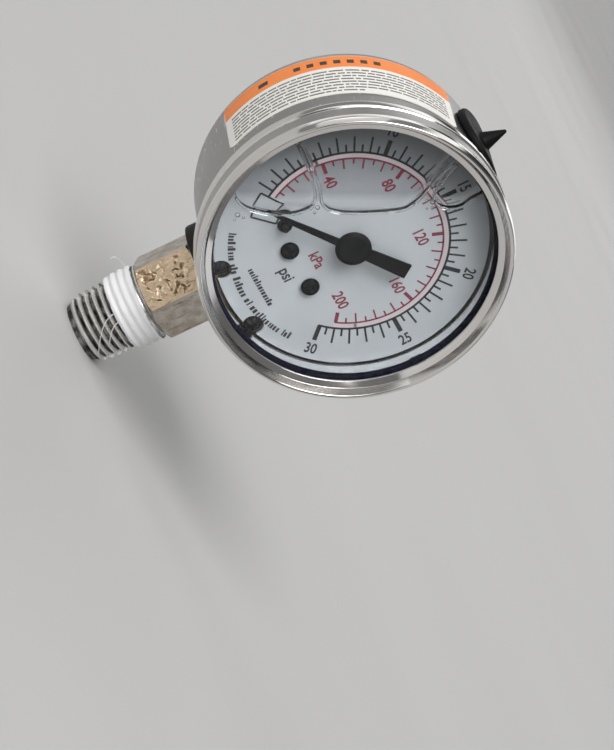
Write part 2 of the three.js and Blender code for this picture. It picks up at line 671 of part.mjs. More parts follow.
const pointer = named('pointer', pointerBlade(), blackMetal);
pointer.rotation.y = THREE.MathUtils.degToRad(POINTER_REST);

const face = new THREE.Group();
face.add(named('dial', dialPlate(), dialEnamel), named('stop_pin', stopPin(), blackMetal), pointer);
for (const [side, word] of [[-1, 'left'], [1, 'right']]) {
  const [dialX, dialZ] = [side * DIAL_SCREW[0], DIAL_SCREW[1]];
  const [socketX, socketZ] = [side * SOCKET_SCREW[0], SOCKET_SCREW[1]];
  const dialSeat = DIAL_FRONT - 0.1;
  const plateSeat = FRONT_PLATE[0] - 0.1;
  const dialScrew = roundHeadScrew(dialX, dialZ, DIAL_SCREW_HEAD, 1.2, 0.8, dialSeat, FRONT_PLATE[1]);
  const socketEnd = BLOCK_FRONT + 4;
  const socketScrew = roundHeadScrew(socketX, socketZ, SOCKET_SCREW_HEAD, 2.4, 0.85, plateSeat, socketEnd);
  const spacer = washer(1, 1.6, DIAL_FRONT + DIAL_THICK + 0.1, plateSeat, 14).translate(dialX, 0, dialZ);
  face.add(named(`dial_screw_${word}`, dialScrew, blackMetal));
  face.add(named(`socket_screw_${word}`, socketScrew, blackMetal));
  face.add(named(`dial_spacer_${word}`, spacer, brass));
}

const head = new THREE.Group();
head.position.z = DIAL_Z;
head.add(
  named('case', caseShell(), satinSteel),
  named('bezel_ring', bezelRing(), polishedSteel),
  named('window', windowPane(), clearGlass),
  named('window_gasket', windowGasket(), blackRubber),
  named('case_label', caseLabel(), labelPaper),
  named('fill_plug', fillPlug(), blackRubber),
  movement,
  face,
);

const gauge = new THREE.Group();
gauge.add(stem, head);

export default gauge;
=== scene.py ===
# Looks of a liquid-filled dial pressure gauge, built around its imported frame. Shapes are drawn in
# millimetres and turned into metres when their meshes are made. The dial's own plane is (x, z) about the
# dial's centre, and its clock angles are degrees clockwise from 12 o'clock.
import json
import random
from math import asin, atan2, ceil, cos, degrees, exp, hypot, pi, radians, sin, sqrt, tan

import bmesh
import bpy
from mathutils import Matrix, Vector, noise


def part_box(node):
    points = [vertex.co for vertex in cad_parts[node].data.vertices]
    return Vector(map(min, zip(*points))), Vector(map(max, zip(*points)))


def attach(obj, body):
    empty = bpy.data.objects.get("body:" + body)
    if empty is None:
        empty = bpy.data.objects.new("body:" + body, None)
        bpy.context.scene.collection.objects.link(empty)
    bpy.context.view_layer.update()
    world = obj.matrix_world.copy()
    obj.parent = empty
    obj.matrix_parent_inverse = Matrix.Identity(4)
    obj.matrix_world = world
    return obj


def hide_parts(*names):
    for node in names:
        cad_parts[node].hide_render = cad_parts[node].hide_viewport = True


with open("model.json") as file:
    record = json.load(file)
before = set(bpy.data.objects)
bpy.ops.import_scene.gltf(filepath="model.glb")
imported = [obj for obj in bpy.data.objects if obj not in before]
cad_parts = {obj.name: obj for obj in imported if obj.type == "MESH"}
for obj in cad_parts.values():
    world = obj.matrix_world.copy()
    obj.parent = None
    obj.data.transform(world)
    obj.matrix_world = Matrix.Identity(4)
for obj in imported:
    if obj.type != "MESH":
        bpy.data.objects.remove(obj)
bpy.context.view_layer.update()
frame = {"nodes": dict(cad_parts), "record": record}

MM = 0.001
TAU = 2 * pi


def span(node):
    """Lowest and highest corner of a CAD node, in millimetres."""
    low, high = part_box(node)
    return Vector(low) / MM, Vector(high) / MM


def middle(node):
    low, high = span(node)
    return (low + high) / 2


# ---- Places and sizes taken from the frame -----------------------------------------------------------
DIAL_LOW, DIAL_HIGH = span("dial")
DIAL_Z = middle("dial").z
DIAL_R = DIAL_HIGH.x
DIAL_FRONT = DIAL_LOW.y
BEZEL_LOW, BEZEL_HIGH = span("bezel_ring")
BEZEL_R = BEZEL_HIGH.x
CASE_LOW, CASE_HIGH = span("case")
FLANGE_R = CASE_HIGH.x
CASE_R = FLANGE_R - 0.7
CASE_WALL = 0.8
CASE_BACK = CASE_HIGH.y
CASE_FRONT = CASE_LOW.y
WINDOW_LOW, WINDOW_HIGH = span("window")
WINDOW_R = WINDOW_HIGH.x
GASKET_LOW, GASKET_HIGH = span("window_gasket")
POINTER_LOW = span("pointer")[0]
STEM_LOW, STEM_HIGH = span("socket")
TAPE_LOW, TAPE_HIGH = span("thread_tape")
SEAL_LOW, SEAL_HIGH = span("socket_seal")
PLUG_LOW, PLUG_HIGH = span("fill_plug")
LABEL_LOW, LABEL_HIGH = span("case_label")

LIP_R = 24.9                # inner edge of the bezel's lip
SLEEVE_R = 24.4             # inner face of the gasket's sleeve
LIQUID_R = 24.35
GAP = 0.02                  # room between faces that touch
AXIS_R = 0.02               # radius at which a turned profile begins and ends
INK = 0.025                 # height of the dial's print

SCALE_START = -135          # clock angle of zero
DEGREES_PER_PSI = 9
PSI_SCALE_R = 17.1
KPA_SCALE_R = 15.95
KPA_PER_PSI = 6.895
POINTER_REST = -126

THREAD_PITCH = 25.4 / 18
THREAD_LONG = 13.6
THREAD_START = 0.47         # part of a turn by which the crest is set back
THREAD_STEPS = 16           # rows of the thread's skin in one pitch
THREAD_DEPTH = 0.95
THREAD_TIP_R = 6.39
LEAD_LONG = 2.2             # chamfer at the open end
LEAD_R = 5.2
THREAD_TAPER = 1 / 32
HEX_ACROSS = 14
HEX_FROM = 14.4
HEX_TO = 25.1
HEX_TURN = -14
NECK_R = 7.4
BORE_R = 3.1
BORE_DEEP = 23
PASSAGE_R = 1.9             # the narrow way on from the bore
STAMPED_FLAT = 226          # direction of the stamped flat's normal, degrees from +X towards +Y

UPHILL = Vector((-0.872, 0.489))    # in the dial's plane, the way that the bubbles have risen
LIQUID_LEVEL = 8.6


# ---- Mesh helpers ------------------------------------------------------------------------------------
def clock(angle, radius):
    turn = radians(angle)
    return Vector((radius * sin(turn), radius * cos(turn)))


def polar(turn, radius, z):
    """A point at a turn about Z, in radians."""
    return radius * cos(turn), radius * sin(turn), z


def add_object(name, data):
    made = bpy.data.objects.new(name, data)
    bpy.context.scene.collection.objects.link(made)
    return made


def loose_object(name, bm):
    """Turns a bmesh drawn in millimetres into an object in metres."""
    bmesh.ops.remove_doubles(bm, verts=bm.verts, dist=1e-5)
    bmesh.ops.recalc_face_normals(bm, faces=bm.faces)
    bmesh.ops.scale(bm, vec=(MM, MM, MM), verts=bm.verts)
    mesh = bpy.data.meshes.new(name)
    bm.to_mesh(mesh)
    bm.free()
    return add_object(name, mesh)


def shade(mesh, sharp=32):
    """Smooth shading with hard edges over an angle in degrees."""
    mesh.shade_smooth()
    mesh.set_sharp_from_angle(angle=radians(sharp))


def finish_piece(name, bm, materials, body="housing", slot=None, replaces=(), sharp=32):
    """Makes a piece that rides on a body and wears the named materials."""
    piece = loose_object(name, bm)
    shade(piece.data, sharp)
    for key in materials.split():
        piece.data.materials.append(MATERIALS[key])
    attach(piece, body)
    if replaces:
        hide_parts(*replaces)
    return piece


def rounded(corners, steps=5):
    """A closed outline whose [a, b, radius] corners become arcs."""
    points = []
    count = len(corners)
    for i, (a, b, radius) in enumerate(corners):
        here = Vector((a, b))
        before = Vector(corners[i - 1][:2]) - here
        after = Vector(corners[(i + 1) % count][:2]) - here
        reach = radius / tan(max(before.angle(after), 0.05) / 2)
        reach = min(reach, before.length * 0.49, after.length * 0.49)
        start = here + before.normalized() * reach
        end = here + after.normalized() * reach
        for step in range(steps + 1):
            t = step / steps
            points.append(start * (1 - t) ** 2 + here * 2 * t * (1 - t) + end * t * t)
    return points


def add_field(bm, rows, closed_rows=False, pick=None, wrap=True, capped=False):
    """Joins rows of points into a skin. wrap makes each row a ring, closed_rows joins the last row to the
    first, capped closes both ends, and pick gives a face's material by its row and column."""
    made = [[bm.verts.new(point) for point in row] for row in rows]
    count = len(made)
    for i in range(count if closed_rows else count - 1):
        upper, lower = made[i], made[(i + 1) % count]
        for k in range(len(upper) if wrap else len(upper) - 1):
            after = (k + 1) % len(upper)
            face = bm.faces.new((upper[k], upper[after], lower[after], lower[k]))
            face.material_index = pick(i, k) if pick else 0
    if capped:
        bm.faces.new(made[0])
        bm.faces.new(made[-1][::-1])


def turn_piece(name, corners, steps, segments, materials, x=0.0, z=DIAL_Z, pick=None, **more):
    """A piece turned about an axis along Y from rounded (radius, y) corners."""
    profile = rounded(corners, steps)
    turns = [TAU * k / segments for k in range(segments)]
    rows = [[(x + r * cos(turn), y, z + r * sin(turn)) for turn in turns] for r, y in profile]

    def pick_row(row, _):
        return pick(*((profile[row] + profile[(row + 1) % len(profile)]) / 2))

    bm = bmesh.new()
    add_field(bm, rows, closed_rows=True, pick=pick and pick_row)
    return finish_piece(name, bm, materials, **more)


def add_prism(bm, outline, front, back):
    """A flat plate drawn in the dial's plane, between two Y faces."""
    near, far = ([bm.verts.new((p[0], y, DIAL_Z + p[1])) for p in outline] for y in (front, back))
    bm.faces.new(near)
    bm.faces.new(far[::-1])
    for i in range(len(outline)):
        j = (i + 1) % len(outline)
        bm.faces.new((near[i], far[i], far[j], near[j]))


def add_arc_band(bm, radius, width, start, end, front, back):
    """A curved bar on the dial, along a circle from one clock angle to another."""
    count = max(2, int(abs(end - start) / 1.5))
    angles = [start + (end - start) * i / count for i in range(count + 1)]
    inner = radius - width / 2
    outer = radius + width / 2
    for first, second in zip(angles, angles[1:]):
        corners = [clock(first, inner), clock(first, outer), clock(second, outer), clock(second, inner)]
        add_prism(bm, corners, front, back)


def add_bar(bm, start, end, width, front, back):
    """A straight bar on the dial between two points."""
    along = (end - start).normalized()
    side = Vector((-along.y, along.x)) * width / 2
    add_prism(bm, [start - side, end - side, end + side, start + side], front, back)


def soften(bm, fold, offset):
    """Rounds the edges that fold by more than an angle in radians."""
    edges = [edge for edge in bm.edges if edge.calc_face_angle(0) > fold]
    bmesh.ops.bevel(bm, geom=edges, offset=offset, segments=2, affect="EDGES", profile=0.5)


def add_tube(bm, points, radius, flat=1.0):
    """A rod along a line of points. flat under 1 squeezes it across its side."""
    rows = []
    sides = 8
    guide = Vector((0.3, 0.2, 1)).normalized()
    for i, point in enumerate(points):
        ahead = points[min(i + 1, len(points) - 1)] - points[max(i - 1, 0)]
        side = ahead.cross(guide).normalized()
        up = side.cross(ahead).normalized()
        taper = 0.35 if i in (0, len(points) - 1) else 1.0
        turns = [TAU * k / sides for k in range(sides)]
        rows.append([point + (side * cos(t) + up * sin(t) * flat) * radius * taper for t in turns])
    add_field(bm, rows, capped=True)


def smooth_closed(points, per_span=8):
    """A closed Catmull-Rom curve through points."""
    result = []
    count = len(points)
    for i in range(count):
        a, b, c, d = (Vector(points[(i + k) % count]) for k in (-1, 0, 1, 2))
        for step in range(per_span):
            t = step / per_span
            part = 2 * b + (c - a) * t + (2 * a - 5 * b + 4 * c - d) * t * t
            result.append((part + (3 * b - a - 3 * c + d) * t ** 3) / 2)
    return result


def drill(name, place, radius, depth, segments=48, along_y=True):
    """A round cutter through a place, along Y or Z."""
    bm = bmesh.new()
    where = Matrix.Translation(place)
    if along_y:
        where = where @ Matrix.Rotation(pi / 2, 4, "X")
    size = {"radius1": radius, "radius2": radius, "depth": depth}
    bmesh.ops.create_cone(bm, cap_ends=True, segments=segments, matrix=where, **size)
    return loose_object(name, bm)


def cut_away(piece, cutters):
    """Subtracts solids from a piece and keeps its shading."""
    for cutter in cutters:
        change = piece.modifiers.new("cut", "BOOLEAN")
        change.operation = "DIFFERENCE"
        change.solver = "EXACT"
        change.object = cutter
    bpy.context.view_layer.update()
    graph = bpy.context.evaluated_depsgraph_get()
    mesh = bpy.data.meshes.new_from_object(piece.evaluated_get(graph), depsgraph=graph)
    piece.modifiers.clear()
    piece.data = mesh
    for cutter in cutters:
        bpy.data.objects.remove(cutter)
    shade(mesh)


# ---- Material helpers --------------------------------------------------------------------------------
class Nodes:
    """A node tree with short calls for the nodes that the looks below share."""

    def __init__(self, owner):
        owner.use_nodes = True
        self.tree = owner.node_tree

    def feed(self, socket, value):
        if isinstance(value, bpy.types.NodeSocket):
            self.tree.links.new(value, socket)
        else:
            socket.default_value = value

    def node(self, kind, inputs, output=0, **settings):
        """Adds a node, feeds its inputs and gives one of its outputs."""
        made = self.tree.nodes.new("ShaderNode" + kind)
        for key, value in settings.items():
            setattr(made, key, value)
        for key, value in inputs.items():
            self.feed(made.inputs[key], value)
        return made.outputs[output]

    def ranged(self, value, low, high, to_low=0.0, to_high=1.0):
        limits = {"From Min": low, "From Max": high, "To Min": to_low, "To Max": to_high}
        return self.node("MapRange", {"Value": value, **limits})

    def math(self, operation, a, b=0.5):
        return self.node("Math", {0: a, 1: b}, operation=operation)

    def mixed(self, factor, first, second):
        return self.node("Mix", {"Factor": factor, "A": first, "B": second}, "Result", data_type="RGBA")


class Look(Nodes):
    """A node material whose patterns keep to the object's own coordinates."""

    def __init__(self, name, **settings):
        self.material = bpy.data.materials.new(name)
        super().__init__(self.material)
        self.shader = self.tree.nodes["Principled BSDF"]
        for key, value in settings.items():
            self.shader.inputs[key.replace("_", " ")].default_value = value
        self.place = self.node("TexCoord", {}, "Object")

    def noise(self, scale, detail=3.0, rough=0.5, vector=None, distortion=0.0):
        inputs = {"Scale": scale, "Detail": detail, "Roughness": rough, "Distortion": distortion}
        return self.node("TexNoise", {"Vector": vector or self.place, **inputs})

    def streaked(self, scale, detail, rough, distortion=0.0):
        """Noise with its own scale along each axis."""
        vector = self.node("Mapping", {"Vector": self.place, "Scale": scale})
        return self.noise(1, detail, rough, vector, distortion)

    def cells(self, scale):
        return self.node("TexVoronoi", {"Vector": self.place, "Scale": scale})

    def colour(self, value):
        self.feed(self.shader.inputs["Base Color"], value)

    def roughness(self, pattern, low, high, reach=0.2):
        """Takes the roughness from low to high over a pattern's values within reach of a half."""
        value = self.ranged(pattern, 0.5 - reach, 0.5 + reach, low, high)
        self.feed(self.shader.inputs["Roughness"], value)

    def bump(self, *layers):
        """Adds (height, strength, millimetres) layers of bump, the first one lowest."""
        normal = {}
        for height, strength, distance in layers:
            inputs = {"Height": height, "Strength": strength, "Distance": distance * MM}
            normal = {"Normal": self.node("Bump", {**inputs, **normal})}
        self.feed(self.shader.inputs["Normal"], normal["Normal"])


def grey(value, warm=0.0):
    return (value * (1 + warm), value, value * (1 - warm), 1.0)


# ---- Materials ---------------------------------------------------------------------------------------
def satin_steel(name, tone, rough, warm=0.02, painted_glints=0.35):
    """Rolled stainless steel: cloudy sheen, short scratches, and painted glints as small bright spots and
    along the scratches.
    """
    look = Look(name, Metallic=1.0)
    clouds = look.noise(90, 4, 0.6)
    brushed = look.streaked((300, 5200, 300), 2, 0.6)
    scratches = look.streaked((240, 240, 2600), 2, 0.4, 0.6)
    marks = look.ranged(scratches, 0.66, 0.72)
    spots = look.ranged(look.cells(360), 0.12, 0.05)
    # Painted glints: small spots and the scratches are painted towards near white, by the given strength.
    bright = look.math("MAXIMUM", spots, look.math("MULTIPLY", marks, 0.7))
    dark = look.mixed(clouds, grey(tone * 0.86, warm), grey(tone * 1.1, warm))
    look.colour(look.mixed(look.math("MULTIPLY", bright, painted_glints), dark, grey(0.95, warm)))
    rough_clouds = look.ranged(clouds, 0.3, 0.75, rough * 0.8, rough * 1.25)
    rough_marks = look.math("MULTIPLY", marks, 0.12)
    look.feed(look.shader.inputs["Roughness"], look.math("ADD", rough_clouds, rough_marks))
    look.bump((clouds, 0.12, 0.3), (brushed, 0.10, 0.02), (marks, 0.12, 0.01))
    return look.material


def polished_steel(name):
    look = Look(name, Metallic=1.0)
    clouds = look.noise(140, 4, 0.55)
    lines = look.streaked((200, 6000, 200), 2, 0.5)
    look.colour(look.mixed(clouds, grey(0.68, 0.03), grey(0.80, 0.035)))
    look.roughness(clouds, 0.06, 0.15)
    look.bump((clouds, 0.05, 0.1), (lines, 0.05, 0.01))
    return look.material


def machined_steel(name, tone, warm, rough=0.3, patina=0.0, tint=(0.5, 0.3, 0.16, 1.0)):
    """Turned or milled stainless steel with tool lines across it and small pits."""
    look = Look(name, Metallic=1.0)
    clouds = look.noise(230, 5, 0.65, distortion=0.4)
    lines = look.streaked((700, 700, 4200), 3, 0.6)
    pits = look.ranged(look.cells(1500), 0.16, 0.05)
    base = look.mixed(clouds, grey(tone * 0.78, warm), grey(tone * 1.16, warm))
    stain = look.ranged(look.noise(420, 4, 0.6), 0.38, 0.62, 0.0, patina)
    streaks = look.streaked((1500, 1500, 130), 4, 0.7, 0.3)
    worn = look.ranged(streaks, 0.56, 0.70, 0.0, min(1.0, patina * 1.6))
    look.colour(look.mixed(worn, look.mixed(stain, base, tint), grey(0.07, 0.2)))
    look.roughness(clouds, rough * 0.7, rough * 1.35, 0.25)
    look.bump((clouds, 0.25, 0.08), (streaks, 0.35, 0.05), (lines, 0.25, 0.03), (pits, 0.2, 0.02))
    return look.material


def thread_steel():
    """Bright turned crests over valleys with painted shade, near black deep below the crest and uneven across
    the clouds.
    """
    look = Look("thread_steel", Metallic=1.0)
    split = look.node("SeparateXYZ", {"Vector": look.place}).node
    across = look.math("MULTIPLY", split.outputs["X"], split.outputs["X"])
    deep = look.math("MULTIPLY", split.outputs["Y"], split.outputs["Y"])
    reach = look.math("SQRT", look.math("ADD", across, deep))
    crest = look.math("ADD", look.math("MULTIPLY", split.outputs["Z"], THREAD_TAPER), THREAD_TIP_R * MM)
    sunk = look.math("SUBTRACT", crest, reach)
    clouds = look.noise(420, 4, 0.65)
    # Painted shade in the valleys: the deeper a place sinks below the crest, the nearer black its colour is
    # painted.
    painted_recess_shade = look.ranged(sunk, 0.42 * MM, 0.80 * MM)
    uneven = look.math("MULTIPLY", painted_recess_shade, look.ranged(clouds, 0.36, 0.58, 0.55, 1.0))
    bright = look.mixed(clouds, grey(0.78, 0.02), grey(1.0, 0.02))
    look.colour(look.mixed(uneven, bright, grey(0.035, 0.08)))
    look.roughness(clouds, 0.20, 0.42)
    nicks = look.ranged(look.cells(1300), 0.15, 0.05)
    look.bump((clouds, 0.25, 0.06), (nicks, 0.3, 0.02))
    return look.material


def stamped_steel():
    """A stamped flat with a straw tint: painted brown shade deep in the strokes, and painted highlights on
    the raised lips along them.
    """
    look = Look("stamped_steel", Metallic=1.0)
    split = look.node("SeparateXYZ", {"Vector": look.place}).node
    turn = radians(STAMPED_FLAT)
    along_x = look.math("MULTIPLY", split.outputs["X"], cos(turn))
    along_y = look.math("MULTIPLY", split.outputs["Y"], sin(turn))
    height = look.math("SUBTRACT", look.math("ADD", along_x, along_y), HEX_ACROSS / 2 * MM)
    clouds = look.noise(520, 5, 0.7, distortion=0.5)
    scuffs = look.streaked((1900, 1900, 420), 4, 0.7, 0.8)
    base = look.mixed(clouds, (0.55, 0.39, 0.25, 1), (0.98, 0.80, 0.58, 1))
    # Painted shade in the strokes: brown, darkening the deeper the groove.
    painted_recess_shade = look.ranged(height, -0.08 * MM, -0.26 * MM, 0.0, 0.75)
    scuffed = look.mixed(look.ranged(scuffs, 0.55, 0.66, 0.0, 0.75), base, (0.16, 0.09, 0.045, 1))
    # Painted highlight on the raised lips that line the strokes.
    painted_lip_highlight = look.ranged(height, 0.03 * MM, 0.10 * MM)
    with_lip_highlight = look.mixed(painted_lip_highlight, scuffed, (1.0, 0.88, 0.66, 1))
    look.colour(look.mixed(painted_recess_shade, with_lip_highlight, (0.14, 0.07, 0.035, 1)))
    look.roughness(clouds, 0.26, 0.5, 0.25)
    look.bump((clouds, 0.35, 0.1), (scuffs, 0.4, 0.06))
    return look.material


def rubber(name, tone, rough, painted_navy_reflection=0.0):
    look = Look(name, Specular_IOR_Level=0.14)
    grain = look.noise(1800, 3, 0.6)
    patches = look.noise(160, 4, 0.6)
    # A navy reflection is painted into the rubber's colour by the amount given for it.
    low = (tone * 0.75, tone * 0.75, tone * (0.75 + painted_navy_reflection), 1)
    high = (tone * 1.3, tone * 1.3, tone * (1.3 + painted_navy_reflection), 1)
    look.colour(look.mixed(patches, low, high))
    look.roughness(patches, rough * 0.8, rough * 1.2)
    look.bump((patches, 0.15, 0.15), (grain, 0.25, 0.02))
    return look.material


def black_coat(name, tone=0.012, rough=0.3):
    """Black paint or oxide with a faint orange-peel."""
    look = Look(name, Specular_IOR_Level=0.15)
    peel = look.noise(900, 2, 0.5)
    patches = look.noise(240, 3, 0.5)
    look.colour(look.mixed(patches, grey(tone * 0.7), (tone * 1.3, tone * 1.35, tone * 1.5, 1)))
    look.roughness(patches, rough * 0.8, rough * 1.25)
    look.bump((peel, 0.15, 0.02))
    return look.material


def dial_enamel():
    """Light grey paint with the bezel's shadow painted on: darker above the liquid's level, and darker still
    towards the rim.
    """
    look = Look("dial_enamel")
    split = look.node("SeparateXYZ", {"Vector": look.place}).node
    across = look.math("MULTIPLY", split.outputs["X"], UPHILL.x / MM)
    above = look.math("SUBTRACT", split.outputs["Z"], DIAL_Z * MM)
    height = look.math("ADD", across, look.math("MULTIPLY", above, UPHILL.y / MM))
    # Painted shadow of the bezel: above the liquid's level the colour is darkened, and deep takes it darker
    # towards the rim.
    bezel_shadow_mask = look.ranged(height, LIQUID_LEVEL - 0.8, LIQUID_LEVEL + 0.8, 0.0, 0.8)
    deep = look.ranged(height, LIQUID_LEVEL + 2, DIAL_R - 3)
    mottle = look.noise(120, 4, 0.6)
    wet = look.mixed(mottle, (0.42, 0.45, 0.475, 1), (0.47, 0.50, 0.52, 1))
    # Colour of the painted shadow, from dark grey to near black at the rim.
    shade = look.mixed(deep, (0.27, 0.28, 0.30, 1), (0.075, 0.08, 0.085, 1))
    look.colour(look.mixed(bezel_shadow_mask, wet, shade))
    look.roughness(mottle, 0.42, 0.55)
    look.bump((look.noise(2500, 2, 0.5), 0.08, 0.01))
    return look.material


def ink(name, colour, faded):
    look = Look(name)
    look.colour(look.mixed(look.noise(1400, 3, 0.6), colour, faded))
    look.roughness(look.noise(700, 2, 0.5), 0.4, 0.6)
    look.bump((look.noise(3000, 2, 0.5), 0.1, 0.01))
    return look.material


def brass(name, low, high, rough=0.26):
    look = Look(name, Metallic=1.0)
    clouds = look.noise(260, 4, 0.6)
    lines = look.streaked((900, 900, 5000), 2, 0.5)
    look.colour(look.mixed(clouds, low, high))
    look.roughness(clouds, rough * 0.75, rough * 1.3)
    look.bump((lines, 0.15, 0.02), (clouds, 0.1, 0.05))
    return look.material


def clear(name, ior, tint, wave_scale, wave):
    """Glass or liquid that lets light through to what is behind it."""
    look = Look(name, IOR=ior, Roughness=0.0, Transmission_Weight=1.0)
    swirl = look.noise(wave_scale, 3, 0.5)
    look.colour(look.mixed(swirl, tint, (1, 1, 1, 1)))
    look.bump((swirl, wave, 0.05))
    shadow = look.node("LightPath", {}, "Is Shadow Ray")
    through = look.node("BsdfTransparent", {})
    chosen = look.node("MixShader", {"Fac": shadow, 1: look.shader.outputs[0], 2: through})
    look.feed(look.tree.nodes["Material Output"].inputs["Surface"], chosen)
    return look.material


def tape_white():
    look = Look("tape_white", Subsurface_Radius=[0.4 * MM] * 3, Subsurface_Weight=0.25)
    fibres = look.streaked((500, 500, 2600), 3, 0.6, 0.5)
    patches = look.noise(300, 3, 0.5)
    look.colour(look.mixed(patches, (0.86, 0.87, 0.90, 1), (0.97, 0.97, 0.97, 1)))
    look.roughness(fibres, 0.32, 0.5)
    look.bump((fibres, 0.35, 0.05), (patches, 0.2, 0.1))
    return look.material


def paper(name, low, high):
    look = Look(name, Coat_Weight=0.15, Coat_Roughness=0.3)
    look.colour(look.mixed(look.noise(700, 4, 0.6), low, high))
    look.roughness(look.noise(500, 2, 0.5), 0.42, 0.6)
    look.bump((look.noise(2200, 3, 0.6), 0.12, 0.02))
    return look.material


MATERIALS = {
    "case": satin_steel("case_steel", 0.36, 0.34, painted_glints=0.8),
    "satin": satin_steel("bezel_satin", 0.46, 0.32, painted_glints=0.1),
    "polished": polished_steel("bezel_polished"),
    "thread": thread_steel(),
    "flat": machined_steel("flat_steel", 0.58, 0.08, 0.34, 0.62, (0.30, 0.235, 0.16, 1.0)),
    "stamped": stamped_steel(),
    # The gasket's colour carries a painted navy reflection.
    "gasket": rubber("gasket_black", 0.012, 0.3, 0.8),
    "seal": rubber("seal_black", 0.02, 0.5),
    "plug": rubber("plug_black", 0.004, 0.55),
    "coat": black_coat("black_coat", 0.006),
    "pointer": black_coat("pointer_coat", 0.004, 0.42),
    "enamel": dial_enamel(),
    "black_ink": ink("black_ink", (0.006, 0.006, 0.007, 1), (0.014, 0.014, 0.016, 1)),
    "red_ink": ink("red_ink", (0.17, 0.012, 0.03, 1), (0.24, 0.03, 0.05, 1)),
    "pink_ink": ink("pink_ink", (0.52, 0.45, 0.47, 1), (0.58, 0.51, 0.53, 1)),
    "brass": brass("movement_brass", (0.62, 0.44, 0.18, 1), (0.82, 0.64, 0.32, 1)),
    "bronze": brass("spring_bronze", (0.52, 0.29, 0.13, 1), (0.74, 0.47, 0.25, 1), 0.3),
    "pin": machined_steel("pin_steel", 0.6, 0.0, 0.2),
    "glass": clear("window_clear", 1.2, (0.97, 0.99, 1.0, 1), 60, 0.02),
    "film": clear("meniscus_film", 1.47, (0.97, 0.99, 1.0, 1), 90, 0.04),
    "liquid": clear("glycerine", 1.3, (0.985, 0.99, 1.0, 1), 80, 0.03),
    "tape": tape_white(),
    "paper": paper("label_paper", (0.80, 0.78, 0.73, 1), (0.88, 0.86, 0.81, 1)),
    "orange": paper("label_orange", (0.85, 0.22, 0.035, 1), (0.92, 0.27, 0.055, 1)),
    "label_ink": paper("label_ink", (0.09, 0.09, 0.09, 1), (0.15, 0.15, 0.145, 1)),
    "label_dark": paper("label_dark", (0.030, 0.016, 0.010, 1), (0.05, 0.026, 0.015, 1)),
}


# ---- Camera, light and floor -------------------------------------------------------------------------
LIGHT_AIM = Vector((0, 0, 0.045))      # this and the lights' sizes and distances are in metres
AREA_LIGHTS = (
    ("side", (-0.53, -0.66, 0.53), 12.0, 2.4, 1.6, 1.2, (1.0, 0.99, 0.97)),
    ("overhead", (-0.75, 0.45, 0.48), 5.0, 2.4, 2.0, 1.6, (1, 1, 1)),
    ("fill", (0.75, -0.6, 0.35), 4.0, 2.6, 1.4, 1.4, (0.96, 0.98, 1.0)),
    ("rear", (0.5, 0.8, 0.5), 6.0, 2.4, 1.2, 1.2, (1, 1, 1)),
)


def place_camera():
    """The camera looks at the gauge from its front left and is rolled, so the gauge seems to lie down."""
    azimuth, elevation, roll = (radians(v) for v in (-30.69, 8.47, 64.94))
    aim = Vector((19.73, -13.85, DIAL_Z - 18.37))
    distance = 619.5
    level = cos(elevation)
    back = Vector((sin(azimuth) * level, -cos(azimuth) * level, sin(elevation)))
    flat_right = Vector((cos(azimuth), sin(azimuth), 0))
    right = flat_right * cos(roll) + back.cross(flat_right) * sin(roll)
    data = bpy.data.cameras.new("camera")
    data.lens = 168
    data.sensor_width = 36
    data.clip_start = 0.01
    data.clip_end = 20
    camera = add_object("camera", data)
    turn = Matrix((right, back.cross(right), back)).transposed().to_4x4()
    camera.matrix_world = Matrix.Translation((aim + back * distance) * MM) @ turn
    bpy.context.scene.camera = camera


def add_light(name, kind, direction, power, distance=0.0, **settings):
    """A light that shines on the gauge from a direction. A sun is equally strong all over the floor."""
    data = bpy.data.lights.new(name, kind)
    data.energy = power
    for key, value in settings.items():
        setattr(data, key, value)
    away = Vector(direction).normalized()
    spot = LIGHT_AIM + away * distance
    turn = away.to_track_quat("Z", "Y").to_matrix().to_4x4()
    add_object(name, data).matrix_world = Matrix.Translation(spot) @ turn


def light_stage():
    add_light("key", "SUN", (-0.45, -0.50, 0.74), 1.7, angle=radians(35))
    for name, direction, power, distance, wide, tall, colour in AREA_LIGHTS:
        size = {"shape": "RECTANGLE", "size": wide, "size_y": tall}
        add_light(name, "AREA", direction, power, distance, color=colour, **size)


FAR_WALL = 0.42             # what the camera sees past the floor
SKY_SIDE = (-0.747, 0.516, 0.419)      # where the room's bright side lies
SKY_STOPS = (               # place and brightness, from the far side to the bright side
    (0.0, 0.26), (0.22, 0.10), (0.5, 0.20), (0.66, 0.03), (0.76, 0.05), (0.80, 1.3), (0.86, 1.1),
    (0.90, 0.22), (0.975, 0.26), (1.0, 1.5),
)


def light_world():
    """A room with one bright side and dark bands across it, so that metal has something to reflect."""
    world = bpy.data.worlds.new("room")
    bpy.context.scene.world = world
    room = Nodes(world)
    ray = room.node("TexCoord", {}, "Generated")
    facing = room.node("VectorMath", {0: ray, 1: SKY_SIDE}, "Value", operation="DOT_PRODUCT")
    ramp = room.node("ValToRGB", {0: room.ranged(facing, -1.0, 1.0)})
    seen = room.mixed(room.node("LightPath", {}, "Is Camera Ray"), ramp, grey(FAR_WALL))
    room.feed(room.tree.nodes["Background"].inputs["Color"], seen)
    stops = ramp.node.color_ramp.elements
    while len(stops) < len(SKY_STOPS):
        stops.new(0.5)
    for stop, (position, value) in zip(stops, SKY_STOPS):
        stop.position = position
        stop.color = grey(value)
    settings = bpy.context.scene.view_settings
    settings.view_transform = "Standard"
    settings.exposure = 0.0


FLOOR_HALF = 60.0           # metres


